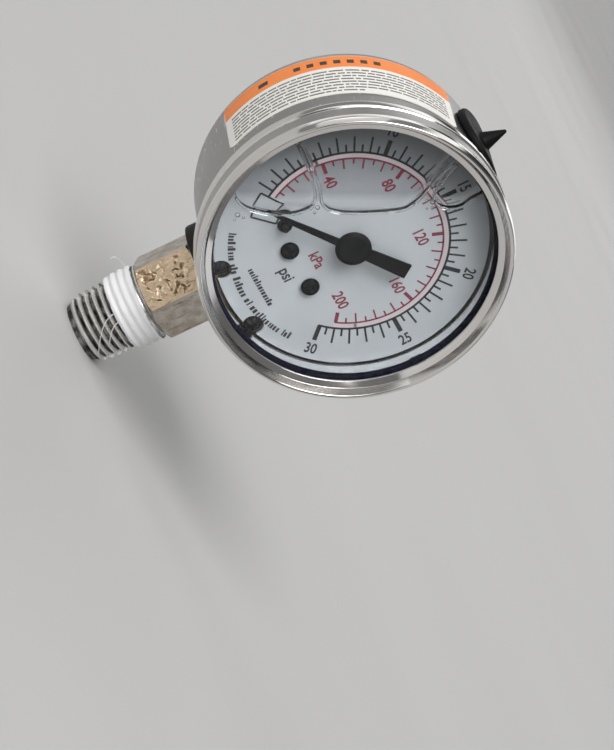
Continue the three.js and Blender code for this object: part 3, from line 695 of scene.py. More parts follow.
def lay_floor():
    bm = bmesh.new()
    bmesh.ops.create_grid(bm, x_segments=2, y_segments=2, size=FLOOR_HALF)
    mesh = bpy.data.meshes.new("floor")
    bm.to_mesh(mesh)
    bm.free()
    look = Look("floor_paint")
    look.colour(look.mixed(look.noise(3, 3, 0.5), grey(0.55, 0.01), grey(0.58, 0.01)))
    look.roughness(look.noise(8, 2, 0.5), 0.55, 0.7)
    mesh.materials.append(look.material)
    add_object("floor", mesh)


# ---- Case and bezel ----------------------------------------------------------------------------------
def make_case():
    """A drawn steel cup with a rolled mouth, a rounded rear corner and a shallow pressed ring in its back."""
    back = CASE_BACK
    floor = back - CASE_WALL
    outside = [
        (FLANGE_R, CASE_FRONT, 0.1), (FLANGE_R, CASE_FRONT + CASE_WALL, 0.3),
        (CASE_R, CASE_FRONT + CASE_WALL, 0.25), (CASE_R, back, 2.6), (20.5, back, 0.8),
        (20.0, back - 0.35, 0.5), (17.5, back - 0.35, 0.5), (17.0, back, 0.8),
    ]
    inside = [
        (AXIS_R, back, 0.01), (AXIS_R, floor, 0.01), (16.7, floor, 0.5), (17.3, floor - 0.3, 0.3),
        (20.2, floor - 0.3, 0.3), (20.8, floor, 0.5), (CASE_R - CASE_WALL, floor, 1.8),
        (CASE_R - CASE_WALL, CASE_FRONT, 0.1),
    ]
    corners = outside + inside
    case = turn_piece("drawn_case", corners, 6, 224, "case", slot="case_steel", replaces=["case"])
    holes = (("neck_hole", NECK_R + 0.4, -1), ("plug_hole", 3.3, 1))
    cut_away(case, [drill(name, (0, 0, DIAL_Z + side * CASE_R), r, 8, 72, False) for name, r, side in holes])


def make_bezel():
    """A crimped ring: bright rear roll, satin band between two fine grooves, and a polished lip."""
    rear = BEZEL_HIGH.y
    crest = BEZEL_LOW.y
    seat = WINDOW_LOW.y - 0.3
    corners = [
        (CASE_R + 0.35, rear, 0.1), (BEZEL_R, rear - 0.05, 0.45), (BEZEL_R, rear - 1.85, 0.35),
        (BEZEL_R - 0.3, rear - 2.05, 0.06), (BEZEL_R - 0.25, rear - 2.25, 0.05),
        (BEZEL_R - 0.2, rear - 4.85, 0.05), (BEZEL_R - 0.32, rear - 5.0, 0.05),
        (BEZEL_R - 0.08, rear - 5.25, 0.15), (BEZEL_R, crest + 1.0, 0.5), (BEZEL_R - 0.45, crest, 0.45),
        (BEZEL_R - 0.95, crest + 0.1, 0.3), (BEZEL_R - 1.7, crest + 1.5, 0.12), (LIP_R, crest + 2.05, 0.1),
        (LIP_R, seat, 0.05), (WINDOW_R + 0.5, seat, 0.05), (WINDOW_R + 0.5, rear - 0.6, 0.05),
        (CASE_R + 0.35, rear - 0.6, 0.05),
    ]

    def pick(radius, y):
        return int(radius > BEZEL_R - 0.29 and rear - 4.9 < y < rear - 2.2)

    labels = {"slot": "bezel_steel", "replaces": ["bezel_ring"]}
    turn_piece("crimped_bezel", corners, 6, 288, "polished satin", pick=pick, **labels)


def make_gasket():
    front, rear = GASKET_LOW.y, GASKET_HIGH.y
    flange = CASE_FRONT - 0.3
    corners = [
        (SLEEVE_R, front, 0.2), (WINDOW_R, front, 0.1), (WINDOW_R, flange, 0.1), (LIP_R, flange, 0.1),
        (LIP_R, rear, 0.1), (SLEEVE_R, rear, 0.2),
    ]
    turn_piece("gasket_ring", corners, 5, 192, "gasket", slot="black_seal", replaces=["window_gasket"])


def disc(radius, front, back, edge, core=0.01):
    """Corners of a round plate, with an edge radius at its rim and another at its axis."""
    return [(AXIS_R, front, core), (radius, front, edge), (radius, back, edge), (AXIS_R, back, core)]


def make_window():
    corners = disc(WINDOW_R, WINDOW_LOW.y, WINDOW_HIGH.y, 0.15)
    turn_piece("window_pane", corners, 4, 192, "glass", slot="window_clear", replaces=["window"])


# ---- Liquid and its bubbles --------------------------------------------------------------------------
BUBBLES = {                 # outlines in the dial's plane
    "main": [
        (-3.4, 13.2), (-3.2, 11.2), (-4.0, 8.8), (-5.0, 6.6), (-6.5, 3.6), (-8.0, 1.2), (-9.5, -0.3),
        (-11.2, -0.8), (-13.2, -0.2), (-16.5, 0.6), (-20, 0.9), (-26, 1.0), (-24, 12), (-16, 22), (-8.5, 26),
        (-7.2, 22.0), (-6.3, 19.4), (-5.2, 17.2), (-4.1, 15.2),
    ],
    "lower": [
        (-11.6, -2.2), (-11.3, -3.8), (-11.6, -5.8), (-12.4, -7.6), (-13.3, -9.1), (-14.7, -10.9),
        (-16.6, -12.6), (-18.6, -13.3), (-21.5, -13.0), (-26, -12), (-28, -4), (-26, 0.2), (-20, 0.2),
        (-16.5, -0.2), (-13.8, -0.9),
    ],
    "top": [
        (-4.6, 18.6), (-3.7, 17.1), (-2.2, 16.5), (-0.6, 16.9), (0.6, 18.3), (1.1, 20.2), (0.7, 22.2),
        (0.2, 26), (-3, 27), (-8, 26.5), (-6.6, 22.3), (-5.7, 20.4),
    ],
}


def bubble_solid(name, outline, front, back, bulge=0.55, layers=14):
    """An air pocket between two walls. Its edge swells out halfway, as the liquid clings to both walls."""
    curve = smooth_closed(outline)
    count = len(curve)
    area = sum(curve[i - 1].x * curve[i].y - curve[i].x * curve[i - 1].y for i in range(count))
    side = 1 if area > 0 else -1
    normals = []
    for i in range(count):
        along = (curve[(i + 2) % count] - curve[i - 2]).normalized()
        normals.append(Vector((along.y, -along.x)) * side)
    rows = []
    for layer in range(layers + 1):
        level = cos(pi * layer / layers)
        inset = bulge * (1 - sqrt(max(0.0, 1 - level * level)))
        y = (front + back) / 2 + level * (front - back) / 2
        spots = [point - normal * inset for point, normal in zip(curve, normals)]
        rows.append([(spot.x, y, DIAL_Z + spot.y) for spot in spots])
    bm = bmesh.new()
    add_field(bm, rows, capped=True)
    return loose_object(name, bm)


FILM_R = 0.24
BOSS_ROOM_R = 1.35          # room in the liquid round the hub's boss
SMALL_BUBBLES = (
    (-1.5, 16.0, 0.5), (-0.5, 15.4, 0.3), (-2.2, 15.2, 0.24), (-0.8, 14.5, 0.2), (-10.2, -2.0, 0.42),
    (-9.5, -2.9, 0.26), (-10.4, -3.2, 0.2), (-15.5, -14.7, 0.45), (-14.6, -14.0, 0.28), (-14.9, -15.6, 0.22),
)


def add_small_bubbles(name, y):
    bm = bmesh.new()
    for x, z, radius in SMALL_BUBBLES:
        where = Matrix.Translation((x, y, DIAL_Z + z))
        bmesh.ops.create_icosphere(bm, subdivisions=3, radius=radius, matrix=where)
    return loose_object(name, bm)


def make_liquid():
    front = WINDOW_HIGH.y + GAP
    back = DIAL_FRONT - INK - GAP
    corners = disc(LIQUID_R, front, back, 0.02)
    liquid = turn_piece("glycerine_fill", corners, 1, 192, "liquid", slot="window_clear")
    cutters = [bubble_solid(name, outline, front - 0.3, back + 0.3) for name, outline in BUBBLES.items()]
    cutters.append(add_small_bubbles("small_bubbles", (front + back) / 2))
    hub_back = POINTER_LOW.y + 1.2
    depth = back + 0.5 - hub_back
    cutters.append(drill("boss_room", (0, hub_back + depth / 2, DIAL_Z), BOSS_ROOM_R, depth))
    cut_away(liquid, cutters)


def make_films():
    """The liquid's curved edge round each bubble, as a bead along the window."""
    bm = bmesh.new()
    for outline in BUBBLES.values():
        run = []
        curve = smooth_closed(outline)
        for point in curve + [curve[0], None]:
            if point and point.length < LIQUID_R - 0.5:
                run.append(Vector((point.x, WINDOW_HIGH.y + FILM_R + 0.1, DIAL_Z + point.y)))
                continue
            if len(run) > 3:
                add_tube(bm, run, FILM_R)
            run = []
    finish_piece("bubble_films", bm, "film", slot="window_clear")


# ---- Dial --------------------------------------------------------------------------------------------
def make_dial():
    """The dial plate, with holes for the pointer's arbor and screws and notches for the socket's screws."""
    front, back = DIAL_FRONT, DIAL_HIGH.y
    corners = [(AXIS_R, front, 0.005), (DIAL_R, front, 0.1), (DIAL_R, back, 0.05), (AXIS_R, back, 0.005)]
    dial = turn_piece("dial_plate", corners, 3, 240, "enamel", slot="dial_enamel", replaces=["dial"])
    holes = [("dial", 1.6)]
    for side in ("left", "right"):
        holes += [("dial_screw_" + side, 1.1), ("socket_screw_" + side, 1.9)]
    cutters = []
    for index, (node, radius) in enumerate(holes + [("stop_pin", 0.75)]):
        place = middle(node)
        cutters.append(drill(f"dial_hole_{index}", (place.x, DIAL_FRONT, place.z), radius, 6))
    cut_away(dial, cutters)


def add_text(bm, text, spot, height, turn=0, squeeze=0.78):
    """Adds a word or number centred at a spot on the dial, turned clockwise by turn degrees."""
    curve = bpy.data.curves.new("text", "FONT")
    curve.body = text
    curve.extrude = 0.5
    curve.offset = 0.02
    curve.resolution_u = 4
    holder = add_object("text", curve)
    graph = bpy.context.evaluated_depsgraph_get()
    mesh = bpy.data.meshes.new_from_object(holder.evaluated_get(graph), depsgraph=graph)
    bpy.data.objects.remove(holder)
    places = [vertex.co.copy() for vertex in mesh.vertices]
    low = Vector(min(p[axis] for p in places) for axis in range(3))
    high = Vector(max(p[axis] for p in places) for axis in range(3))
    scale = height / (high.y - low.y)
    swing = radians(-turn)
    for vertex, place in zip(mesh.vertices, places):
        across = (place.x - (low.x + high.x) / 2) * scale * squeeze
        rise = (place.y - (low.y + high.y) / 2) * scale
        x = across * cos(swing) - rise * sin(swing)
        z = across * sin(swing) + rise * cos(swing)
        y = DIAL_FRONT - INK if place.z > 0 else DIAL_FRONT + INK
        vertex.co = (spot.x + x, y, DIAL_Z + spot.y + z)
    bm.from_mesh(mesh)
    bpy.data.meshes.remove(mesh)


def psi_angle(value):
    return SCALE_START + DEGREES_PER_PSI * value


def make_psi_scale():
    """Black outer scale: an arc with ticks every half psi, from 2 to 30, and a box round zero."""
    front, back = DIAL_FRONT - INK, DIAL_FRONT + INK
    bm = bmesh.new()
    box_end = -121.5
    add_arc_band(bm, PSI_SCALE_R, 0.4, box_end, psi_angle(30) + 0.9, front, back)
    for half in range(4, 61):
        angle = psi_angle(half / 2)
        tall = 1.5 if half % 2 else 3.0
        wide = 0.36 if half % 10 else 0.8
        add_bar(bm, clock(angle, PSI_SCALE_R), clock(angle, PSI_SCALE_R + tall), wide, front, back)
    inner, outer = 14.0, 18.6
    for angle in (SCALE_START, box_end):
        add_bar(bm, clock(angle, inner), clock(angle, outer), 0.35, front, back)
    for radius in (inner, outer):
        add_arc_band(bm, radius, 0.35, SCALE_START, box_end, front, back)
    numbers = [(5, 21.9, -90), (10, 21.9, -45), (15, 21.7, 0)]
    numbers += [(20, 21.8, 45), (25, 21.8, -90), (30, 21.8, -45)]
    for value, radius, turn in numbers:
        add_text(bm, str(value), clock(psi_angle(value), radius), 2.1, turn)
    add_text(bm, "psi", clock(180, 13.1), 2.7, 0, 0.85)
    finish_piece("psi_scale", bm, "black_ink", slot="dial_enamel", sharp=20)


def make_kpa_scale():
    """Red inner scale: ticks inward every 5 kPa from 10 to 200."""
    front, back = DIAL_FRONT - INK, DIAL_FRONT + INK
    bm = bmesh.new()
    first, last = -120, psi_angle(200 / KPA_PER_PSI)
    add_arc_band(bm, KPA_SCALE_R, 0.3, first, last + 0.5, front, back)
    for value in range(10, 201, 5):
        angle = psi_angle(value / KPA_PER_PSI)
        tall, wide = 1.0, 0.3
        if value % 10 == 0:
            tall = 1.9
        if value % 40 == 0:
            tall, wide = 2.0, 0.65
        if angle > first:
            add_bar(bm, clock(angle, KPA_SCALE_R - tall), clock(angle, KPA_SCALE_R), wide, front, back)
    numbers = ((40, -12.1, 1.7), (80, -6.6, 10.3), (120, 4.8, 11.1), (160, 11.5, 3.4), (200, 9.3, -6.7))
    for value, x, z in numbers:
        add_text(bm, str(value), Vector((x, z)), 2.1, 0, 0.8)
    add_text(bm, "kPa", Vector((0, -6.9)), 2.0, 0, 0.85)
    finish_piece("kpa_scale", bm, "red_ink", slot="dial_enamel", sharp=20)
    band = bmesh.new()
    add_arc_band(band, (PSI_SCALE_R + KPA_SCALE_R) / 2, 0.72, first - 0.5, last + 1, front + 0.012, back)
    finish_piece("scale_band", band, "pink_ink", slot="dial_enamel", sharp=20)


def make_dial_marks():
    """Two rows of plain blocks where a maker would print notes: one straight, one along the rim."""
    draw = random.Random(4)
    front, back = DIAL_FRONT - INK, DIAL_FRONT + INK
    rim = 20.0 + 1.6
    bm = bmesh.new()
    x = -4.0
    while x < 3.8:
        wide = draw.uniform(0.25, 0.5)
        tall = draw.choice((0.8, 0.8, 1.15))
        corner = Vector((x + wide / 2, -18.3))
        add_bar(bm, corner, corner + Vector((0, tall)), wide, front, back)
        x += wide + 0.22
    angle = -146.0
    while angle > -214:
        wide = draw.uniform(0.25, 0.55)
        tall = draw.choice((0.95, 0.95, 1.35))
        add_bar(bm, clock(angle, rim), clock(angle, rim - tall), wide, front, back)
        gap = 0.8 if draw.random() < 0.14 else 0.24
        angle -= degrees((wide + gap) / 20.8)
    finish_piece("dial_notes", bm, "black_ink", slot="dial_enamel", sharp=20)


def make_round_screw(name, node, head_r, head_tall, seat):
    """A pan-head screw with a cross recess and a fine rounded edge."""
    place = middle(node)
    rear = span(node)[1].y
    shank = 0.8
    corners = [
        (AXIS_R, rear, 0.01), (shank, rear, 0.2), (shank, seat, 0.02), (head_r, seat, 0.12),
        (head_r, seat - head_tall * 0.55, head_tall * 0.45), (AXIS_R, seat - head_tall, 0.01),
    ]
    labels = {"slot": "black_screws", "replaces": [node]}
    piece = turn_piece(name, corners, 6, 48, "coat", place.x, place.z, **labels)
    cutters = []
    for index, turn in enumerate((20, 110)):
        cutter = bmesh.new()
        spot = Matrix.Translation((place.x, seat - head_tall, place.z))
        size = Matrix.Diagonal((head_r * 0.95, head_tall * 0.9, head_r * 0.24, 1))
        where = spot @ Matrix.Rotation(radians(turn), 4, "Y") @ size
        bmesh.ops.create_cube(cutter, size=1.0, matrix=where)
        cutters.append(loose_object(f"{name}_recess_{index}", cutter))
    cut_away(piece, cutters)


def make_dial_fittings():
    base = DIAL_FRONT - 0.1
    for side in ("left", "right"):
        make_round_screw("pan_screw_" + side, "dial_screw_" + side, 1.65, 1.2, base)
        front = span("socket_screw_" + side)[0].y
        make_round_screw("block_screw_" + side, "socket_screw_" + side, 1.7, 2.4, front + 2.4)
    place = middle("stop_pin")
    low, high = span("stop_pin")
    corners = [
        (AXIS_R, high.y, 0.01), (0.55, high.y, 0.05), (0.55, base, 0.02), (1.3, base, 0.1),
        (1.3, base - 0.4, 0.12), (0.55, base - 0.45, 0.1), (0.55, low.y, 0.3), (AXIS_R, low.y, 0.01),
    ]
    labels = {"slot": "black_screws", "replaces": ["stop_pin"]}
    turn_piece("rest_pin", corners, 5, 40, "coat", place.x, place.z, **labels)


# ---- Pointer -----------------------------------------------------------------------------------------
def make_pointer():
    """A stamped needle with a flared tail, under a domed hub."""
    front = POINTER_LOW.y + 0.65
    back = front + 0.4
    turn = Matrix.Rotation(radians(-POINTER_REST), 2)
    needle = [(0.8, 0), (0.45, 13.8), (0.04, 16.8), (-0.04, 16.8), (-0.45, 13.8), (-0.8, 0)]
    tail = [(-1.1, 0), (-1.45, -10.8), (-1.35, -10.9), (1.35, -10.9), (1.45, -10.8), (1.1, 0)]
    bm = bmesh.new()
    for outline in (needle, tail):
        add_prism(bm, [turn @ Vector(point) for point in outline], front, back)
    soften(bm, 0.5, 0.06)
    labels = {"body": "pointer_assembly", "slot": "pointer_black", "replaces": ["pointer"]}
    finish_piece("needle_blade", bm, "pointer", sharp=50, **labels)
    corners = [
        (AXIS_R, back + 1.5, 0.01), (1.1, back + 1.5, 0.1), (1.1, back + 0.1, 0.1), (3.25, back, 0.1),
        (3.25, front - 0.15, 0.2), (2.5, front - 0.5, 0.6), (AXIS_R, POINTER_LOW.y, 0.01),
    ]
    turn_piece("needle_hub", corners, 6, 96, "pointer", **labels)


# ---- Stem --------------------------------------------------------------------------------------------
def thread_phase(turn, z):
    """How far a place is from the last crest towards the next, from 0 to 1."""
    return (z / THREAD_PITCH - turn - THREAD_START) % 1


def thread_radius(turn, z):
    """Outside radius of the threaded end at a turn (0 to 1) and a height."""
    valley = 1 - abs(2 * thread_phase(turn, z) - 1)
    depth = THREAD_DEPTH * min(1.0, max(0.0, (valley - 0.125) / 0.75))
    fade = min(1.0, max(0.0, (THREAD_LONG + 0.6 - z) / 1.4))
    crest = THREAD_TIP_R + THREAD_TAPER * z + 0.02
    lead = LEAD_R + (THREAD_TIP_R - LEAD_R) * z / LEAD_LONG
    return min(crest - depth * fade, lead)


STAMPS = {
    "rings": [(-2.35, 1.75, 1.35), (-2.35, 1.75, 0.7), (1.5, 4.1, 1.0), (-0.2, 7.2, 0.75)],
    "strokes": [
        (-3.3, 2.6, -1.3, 1.0), (-2.9, 0.9, -1.9, 2.9), (2.9, 7.7, 0.9, 6.9), (0.9, 6.9, 2.7, 5.6),
        (2.7, 8.6, 3.4, 7.4), (-3.1, 5.2, -1.6, 4.6), (-2.6, 6.3, -2.2, 4.2), (-0.9, 1.0, 1.2, 2.1),
        (-0.4, 4.4, 0.4, 5.6), (-1.3, 8.6, 0.8, 8.2), (2.2, 1.3, 3.3, 2.9), (-3.4, 7.9, -2.3, 7.3),
    ],
}


def stamp_depth(u, v):
    """Height of the stamped flat at u across and v along it: grooves with raised lips."""
    spot = Vector((u * 0.8, v * 0.8, 5.0))
    uneven = 0.55 + 1.1 * noise.noise(spot * 1.7)
    u += 0.7 * noise.noise(spot) + 0.2 * noise.noise(spot * 3)
    v += 0.7 * noise.noise(spot + Vector((9, 4, 2))) + 0.2 * noise.noise(spot * 3.3)
    nearest = 9.0
    for x, y, radius in STAMPS["rings"]:
        nearest = min(nearest, abs(hypot(u - x, v - y) - radius))
    for x0, y0, x1, y1 in STAMPS["strokes"]:
        dx, dy = x1 - x0, y1 - y0
        t = min(1.0, max(0.0, ((u - x0) * dx + (v - y0) * dy) / (dx * dx + dy * dy)))
        nearest = min(nearest, hypot(u - x0 - dx * t, v - y0 - dy * t))
    groove = -0.32 * exp(-((nearest / 0.19) ** 2))
    lip = 0.14 * exp(-(((nearest - 0.38) / 0.14) ** 2))
    worn = 0.07 * noise.noise(Vector((u * 1.3, v * 1.3, 3.0)))
    worn += 0.05 * noise.noise(Vector((u * 4, v * 2.4, 7.0)))
    return (groove + lip) * min(1.0, max(0.15, uneven)) + worn


def stem_columns():
    """Angles round the stem: fine over the stamped flat, with a column on every corner of the hexagon."""
    angles = []
    for flat in range(6):
        centre = 60 * flat + HEX_TURN
        count = 96 if centre == STAMPED_FLAT else 26
        half = HEX_ACROSS / 2 * tan(radians(30))
        for k in range(count):
            across = -half + 2 * half * k / count
            angles.append((centre + degrees(atan2(across, HEX_ACROSS / 2)), centre))
    return angles


def stem_radius(angle, flat, z):
    turn = (angle / 360) % 1
    if z <= THREAD_LONG + 0.55:
        return thread_radius(turn, z)
    if z < HEX_FROM:
        return 6.3
    if z <= HEX_TO:
        corner = HEX_ACROSS / sqrt(3)
        swing = radians(angle - flat)
        radius = HEX_ACROSS / 2 / cos(swing)
        cone = min(corner - 0.75 + (z - HEX_FROM) * 1.5, corner - 0.55 + (HEX_TO - z) * 1.6)
        if flat == STAMPED_FLAT:
            across = HEX_ACROSS / 2 * tan(swing)
            edge = min(1.0, max(0.0, (3.9 - abs(across)) / 0.5), max(0.0, (z - HEX_FROM - 0.3) / 0.4))
            radius += stamp_depth(across, z - HEX_FROM) * edge
        else:
            radius += 0.02 * noise.noise(Vector((angle * 0.05, z * 2.2, flat)))
        return min(radius, cone)
    return NECK_R


def stem_levels():
    """Heights of the rings above the thread."""
    levels = [THREAD_LONG, THREAD_LONG + 0.3, THREAD_LONG + 0.55, THREAD_LONG + 0.56, HEX_FROM - 0.001]
    levels += [HEX_FROM + (HEX_TO - HEX_FROM) * k / 96 for k in range(97)]
    return levels + [HEX_TO + 0.001, HEX_TO + 2, DIAL_Z - 22.5]


def thread_rows(columns):
    """Rows that climb with the thread, so that each keeps to one line of its profile all the way round."""
    around = [angle for angle, _ in columns]
    around.append(around[0] + 360)
    last = ceil(THREAD_STEPS * (THREAD_LONG / THREAD_PITCH + 0.2))
    rows = []
    for step in range(-2 * THREAD_STEPS, last + 1):
        row = []
        for angle in around:
            turn = angle / 360
            climb = (step / THREAD_STEPS + turn + THREAD_START) * THREAD_PITCH
            z = min(THREAD_LONG, max(0.0, climb))
            row.append(polar(TAU * turn, thread_radius(turn, z), z))
        rows.append(row)
    return rows


def make_stem():
    """Pipe thread, shoulder, hexagon and neck in one skin, with the bore inside it."""
    columns = stem_columns()
    levels = stem_levels()

    def ring(z, radius=None):
        turns = [(radians(angle), radius or stem_radius(angle, flat, z)) for angle, flat in columns]
        return [polar(turn, reach, z) for turn, reach in turns]

    rows = [ring(z) for z in levels]
    rows += [ring(levels[-1], PASSAGE_R), ring(BORE_DEEP, PASSAGE_R), ring(BORE_DEEP, BORE_R)]
    rows += [ring(0.5, BORE_R), ring(0, BORE_R + 0.4), ring(0)]

    def pick(row, column):
        z = levels[row] if row < len(levels) else 0
        if not HEX_FROM - 0.01 <= z < HEX_TO:
            return 0
        return 2 if columns[column][1] == STAMPED_FLAT else 1

    bm = bmesh.new()
    add_field(bm, rows, pick=pick)
    add_field(bm, thread_rows(columns), wrap=False)
    bmesh.ops.remove_doubles(bm, verts=bm.verts, dist=1e-4)
    finish_piece("stem_body", bm, "thread flat stamped", slot="stem_steel", replaces=["socket"], sharp=38)


def make_block():
    """The block inside the case that carries the movement and holds the root of the Bourdon tube."""
    reach = CASE_R - CASE_WALL - 0.35
    half = STEM_HIGH.x
    top = -18.2
    start = asin(half / reach)
    turns = [start * (1 - 2 * k / 24) for k in range(25)]
    outline = [(-half, top), (half, top)] + [(reach * sin(t), -reach * cos(t)) for t in turns]
    bm = bmesh.new()
    add_prism(bm, outline, STEM_LOW.y + 0.05, STEM_HIGH.y - 0.05)
    soften(bm, 0.6, 0.3)
    finish_piece("stem_block", bm, "flat", slot="stem_steel", replaces=["socket"])


def make_seal():
    """A rubber washer between the hexagon and the case, whose top follows the case."""
    inner, outer = NECK_R + 0.3, SEAL_HIGH.x
    segments = 120
    hug = CASE_R + 0.05
    base = [(inner, 0.2), (inner + 0.2, 0), (outer - 0.4, 0), (outer - 0.1, 0.12), (outer, 0.4)]
    saddle = [(outer, -0.4), (outer - 0.15, -0.12), (outer - 0.4, 0), (inner, 0)]
    turns = [TAU * k / segments for k in range(segments)]
    rows = [[polar(turn, radius, lift + SEAL_LOW.z) for turn in turns] for radius, lift in base]
    for radius, lift in saddle:
        falls = [(turn, sqrt(hug ** 2 - (radius * cos(turn)) ** 2)) for turn in turns]
        rows.append([polar(turn, radius, lift + (DIAL_Z - fall)) for turn, fall in falls])
    bm = bmesh.new()
    add_field(bm, rows, closed_rows=True)
    finish_piece("stem_washer", bm, "seal", slot="black_seal", replaces=["socket_seal"])


# ---- Thread tape -------------------------------------------------------------------------------------
def tape_radius(turn, z, layer):
    """The tape sinks a little into the thread's valleys and creases along them."""
    ripple = 0.16 * cos(TAU * thread_phase(turn, z))
    crease = 0.07 * noise.noise(Vector(polar(TAU * turn, 5, z * 2.6)))
    crest = THREAD_TIP_R + THREAD_TAPER * z + 0.28
    return crest + ripple + crease + 0.07 * layer


def make_tape():
    """Three wraps of white sealing tape, each with its own ragged edges."""
    bottom, top = TAPE_LOW.z, TAPE_HIGH.z
    wraps = ((bottom, top - 0.5), (bottom + 0.45, top), (bottom + 1.3, top - 1.6))
    columns = 200
    levels = 44
    for index, (low, high) in enumerate(wraps):
        rows = []
        for level in range(levels + 1):
            row = []
            for k in range(columns):
                turn = k / columns
                around = Vector(polar(TAU * turn, 3, 11.0 * index))
                ragged = 0.16 * noise.noise(around * 1.5) + 0.08 * noise.noise(around * 5)
                z = low + (high - low) * level / levels + ragged * (1 if level in (0, levels) else 0.8)
                row.append(polar(TAU * turn, tape_radius(turn, z, index), z))
            rows.append(row)
        inner = [[(x * 0.985, y * 0.985, z) for x, y, z in row] for row in rows[::-1]]
        bm = bmesh.new()
        add_field(bm, rows + inner, closed_rows=True)
        name = f"tape_wrap_{index + 1}"
        finish_piece(name, bm, "tape", slot="thread_tape", replaces=["thread_tape"], sharp=70)


def make_strands():
    """Loose threads of tape that trail from its lower edge over the first turns."""
    bm = bmesh.new()
    z = TAPE_LOW.z + 0.2
    for turn, swing, drop in ((0.66, 0.16, 6.6), (0.70, 0.08, 3.6)):
        points = []
        for step in range(19):
            t = step / 18
            height = z - drop * t
            radius = THREAD_TIP_R + THREAD_TAPER * height + 0.14 + 0.18 * sin(5 * t + turn * 9)
            points.append(Vector(polar(TAU * (turn + swing * t * t), radius, height)))
        add_tube(bm, points, 0.13, 0.5)
    curl = []
    for step in range(13):
        t = step / 12
        radius = TAPE_HIGH.x - 0.35 + 2.9 * sin(1.9 * t)
        curl.append(Vector(polar(radians(152 + 10 * t), radius, TAPE_HIGH.z - 0.9 - 1.6 * t * t)))
    add_tube(bm, curl, 0.1, 0.5)
    finish_piece("tape_strands", bm, "tape", slot="thread_tape", replaces=["thread_tape"], sharp=60)


# ---- Label -------------------------------------------------------------------------------------------
LABEL_FROM, LABEL_TO = -116, -18
LABEL_SKIN = 0.15
ORANGE_WIDE = 4.3


def add_patch(bm, start, end, front, back, low, high, corner=0.0):
    """A thin curved plate over the case between two clock angles and two depths, with rounded corners."""
    long = radians(end - start) * CASE_R
    count = max(1, round(long / 0.7))
    stops = [k / count for k in range(count + 1)]
    if corner:
        bend = [corner / long * (1 - cos(pi / 2 * k / 6)) for k in range(7)]
        flat = [s for s in stops if corner / long < s < 1 - corner / long]
        stops = bend + flat + [1 - s for s in bend[::-1]]
    rows = []
    for s in stops:
        near = min(s, 1 - s) * long
        cut = corner - sqrt(max(0.0, corner ** 2 - (corner - near) ** 2)) if near < corner else 0.0
        under, over = (clock(start + (end - start) * s, CASE_R + lift) for lift in (low, high))
        f, b = front + cut, back - cut
        section = ((under, f), (over, f), (over, b), (under, b))
        rows.append([(spot.x, y, DIAL_Z + spot.y) for spot, y in section])
    add_field(bm, rows, capped=True)


def make_label():
    """A paper label with an orange band along its rear edge."""
    front, back = LABEL_LOW.y, LABEL_HIGH.y
    low, high = LABEL_SKIN - 0.01, LABEL_SKIN + 0.02
    labels = {"slot": "case_label", "replaces": ["case_label"], "sharp": 30}
    bm = bmesh.new()
    add_patch(bm, LABEL_FROM, LABEL_TO, front, back, 0.02, LABEL_SKIN, 1.3)
    finish_piece("label_sheet", bm, "paper", **labels)
    band = bmesh.new()
    add_patch(band, LABEL_FROM + 0.25, LABEL_TO - 0.25, back - ORANGE_WIDE, back - 0.12, low, high)
    finish_piece("label_band", band, "orange", **labels)


def make_label_print():
    """Rows of grey dashes in place of small print, and dark blocks in place of a heading."""
    draw = random.Random(12)
    low, high = LABEL_SKIN - 0.01, LABEL_SKIN + 0.02
    front = LABEL_LOW.y + 0.9
    rows = 8
    depth = (LABEL_HIGH.y - ORANGE_WIDE - 0.5 - front) / rows
    bm = bmesh.new()
    for row in range(rows):
        y = front + depth * row
        angle = LABEL_FROM + 3.5
        stop = LABEL_TO - (3.5 if row else 40)
        while angle < stop:
            end = min(stop, angle + draw.uniform(1.2, 6.0))
            add_patch(bm, angle, end, y, y + 0.42, low, high)
            angle = end + draw.choice((0.5, 0.5, 0.8))
    finish_piece("label_lines", bm, "label_ink", slot="case_label", sharp=30)
    heading = bmesh.new()
    y = LABEL_HIGH.y - 2.9
    first = (LABEL_FROM + LABEL_TO) / 2 + 1 - 17
    blocks = [(first + 5.2 * k, 2.7) for k in range(7)] + [(LABEL_FROM + 18, 4.2)]
    for angle, long in blocks:
        add_patch(heading, angle, angle + long, y, y + 1.27, low + 0.01, high + 0.02)
    finish_piece("label_heading", heading, "label_dark", slot="case_label", sharp=30)


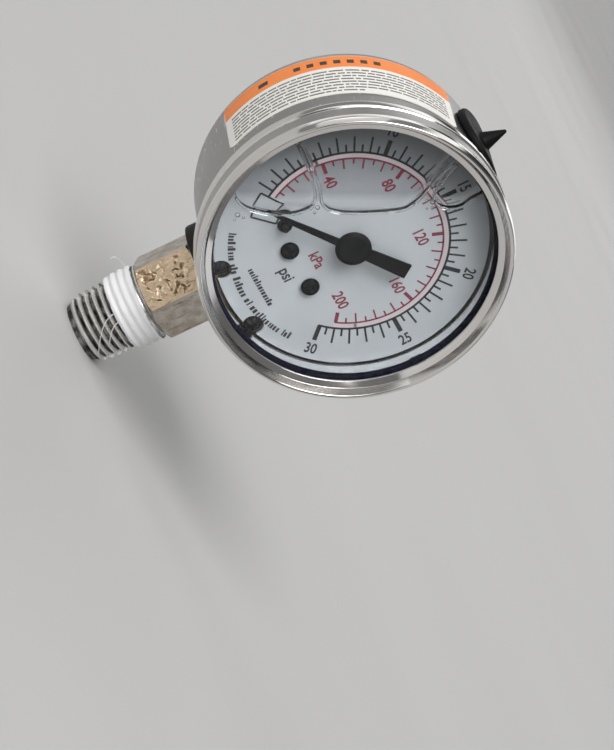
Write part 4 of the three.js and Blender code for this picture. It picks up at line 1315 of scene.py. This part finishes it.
# ---- Fill plug ---------------------------------------------------------------------------------------
def make_plug():
    """A rubber plug: a round flange that hugs the case, a pointed nib on top and a stopper in the hole."""
    outer = PLUG_HIGH.x
    top_r = 27.5
    under_r = CASE_R + 0.12
    nib_r, nib_top = 1.6, PLUG_HIGH.z - DIAL_Z
    stopper = PLUG_LOW.z - DIAL_Z
    segments = 144
    rows = []

    def add_ring(radius, height, hugged=0):
        """A ring at a height, or at a height over the cylinder that it hugs."""
        row = []
        for k in range(segments):
            turn = TAU * k / segments
            rise = sqrt(hugged ** 2 - (radius * cos(turn)) ** 2) if hugged else 0
            row.append(polar(turn, radius, DIAL_Z + (rise + height)))
        rows.append(row)

    add_ring(0.12, nib_top)
    add_ring(0.3, nib_top - 0.12)
    for step in range(1, 12):
        slope = nib_top - 0.12 - (nib_top - 0.5 - top_r) * step / 11
        add_ring(0.3 + (nib_r - 0.3) * step / 11, slope)
    flange = [(1.8, 0.0), (2.3, 0.16), (3.0, 0.22), (4.6, 0.2), (5.4, 0.1), (5.9, 0.0), (6.35, 0.02)]
    for radius, sink in flange + [(outer - 0.2, 0.1), (outer, 0.35)]:
        add_ring(radius, -sink, top_r)
    for radius, lift in ((outer, 0.3), (outer - 0.25, 0.04), (3.15, 0.0)):
        add_ring(radius, lift, under_r)
    for radius, height in ((2.95, CASE_R - 0.9), (2.95, stopper + 0.3), (2.7, stopper)):
        add_ring(radius, height)
    bm = bmesh.new()
    add_field(bm, rows, capped=True)
    finish_piece("rubber_plug", bm, "plug", "plug_body", "plug_rubber", ["fill_plug"], 40)


# ---- CAD pieces that keep their shape ----------------------------------------------------------------
def finish_movement():
    """The movement's own pieces keep their CAD shape and get their metal."""
    slots = {"movement_brass": "brass", "spring_bronze": "bronze", "pin_steel": "pin"}
    for entry in frame["record"]["subparts"]:
        metal = slots.get(entry["material_slot"])
        if metal:
            mesh = frame["nodes"][entry["node"]].data
            mesh.materials.clear()
            mesh.materials.append(MATERIALS[metal])


STEPS = (
    place_camera, light_stage, light_world, lay_floor, make_case, make_bezel, make_gasket, make_window,
    make_liquid, make_films, make_dial, make_psi_scale, make_kpa_scale, make_dial_marks, make_dial_fittings,
    make_pointer, make_stem, make_block, make_seal, make_tape, make_strands, make_label, make_label_print,
    make_plug, finish_movement,
)
for make in STEPS:
    make()
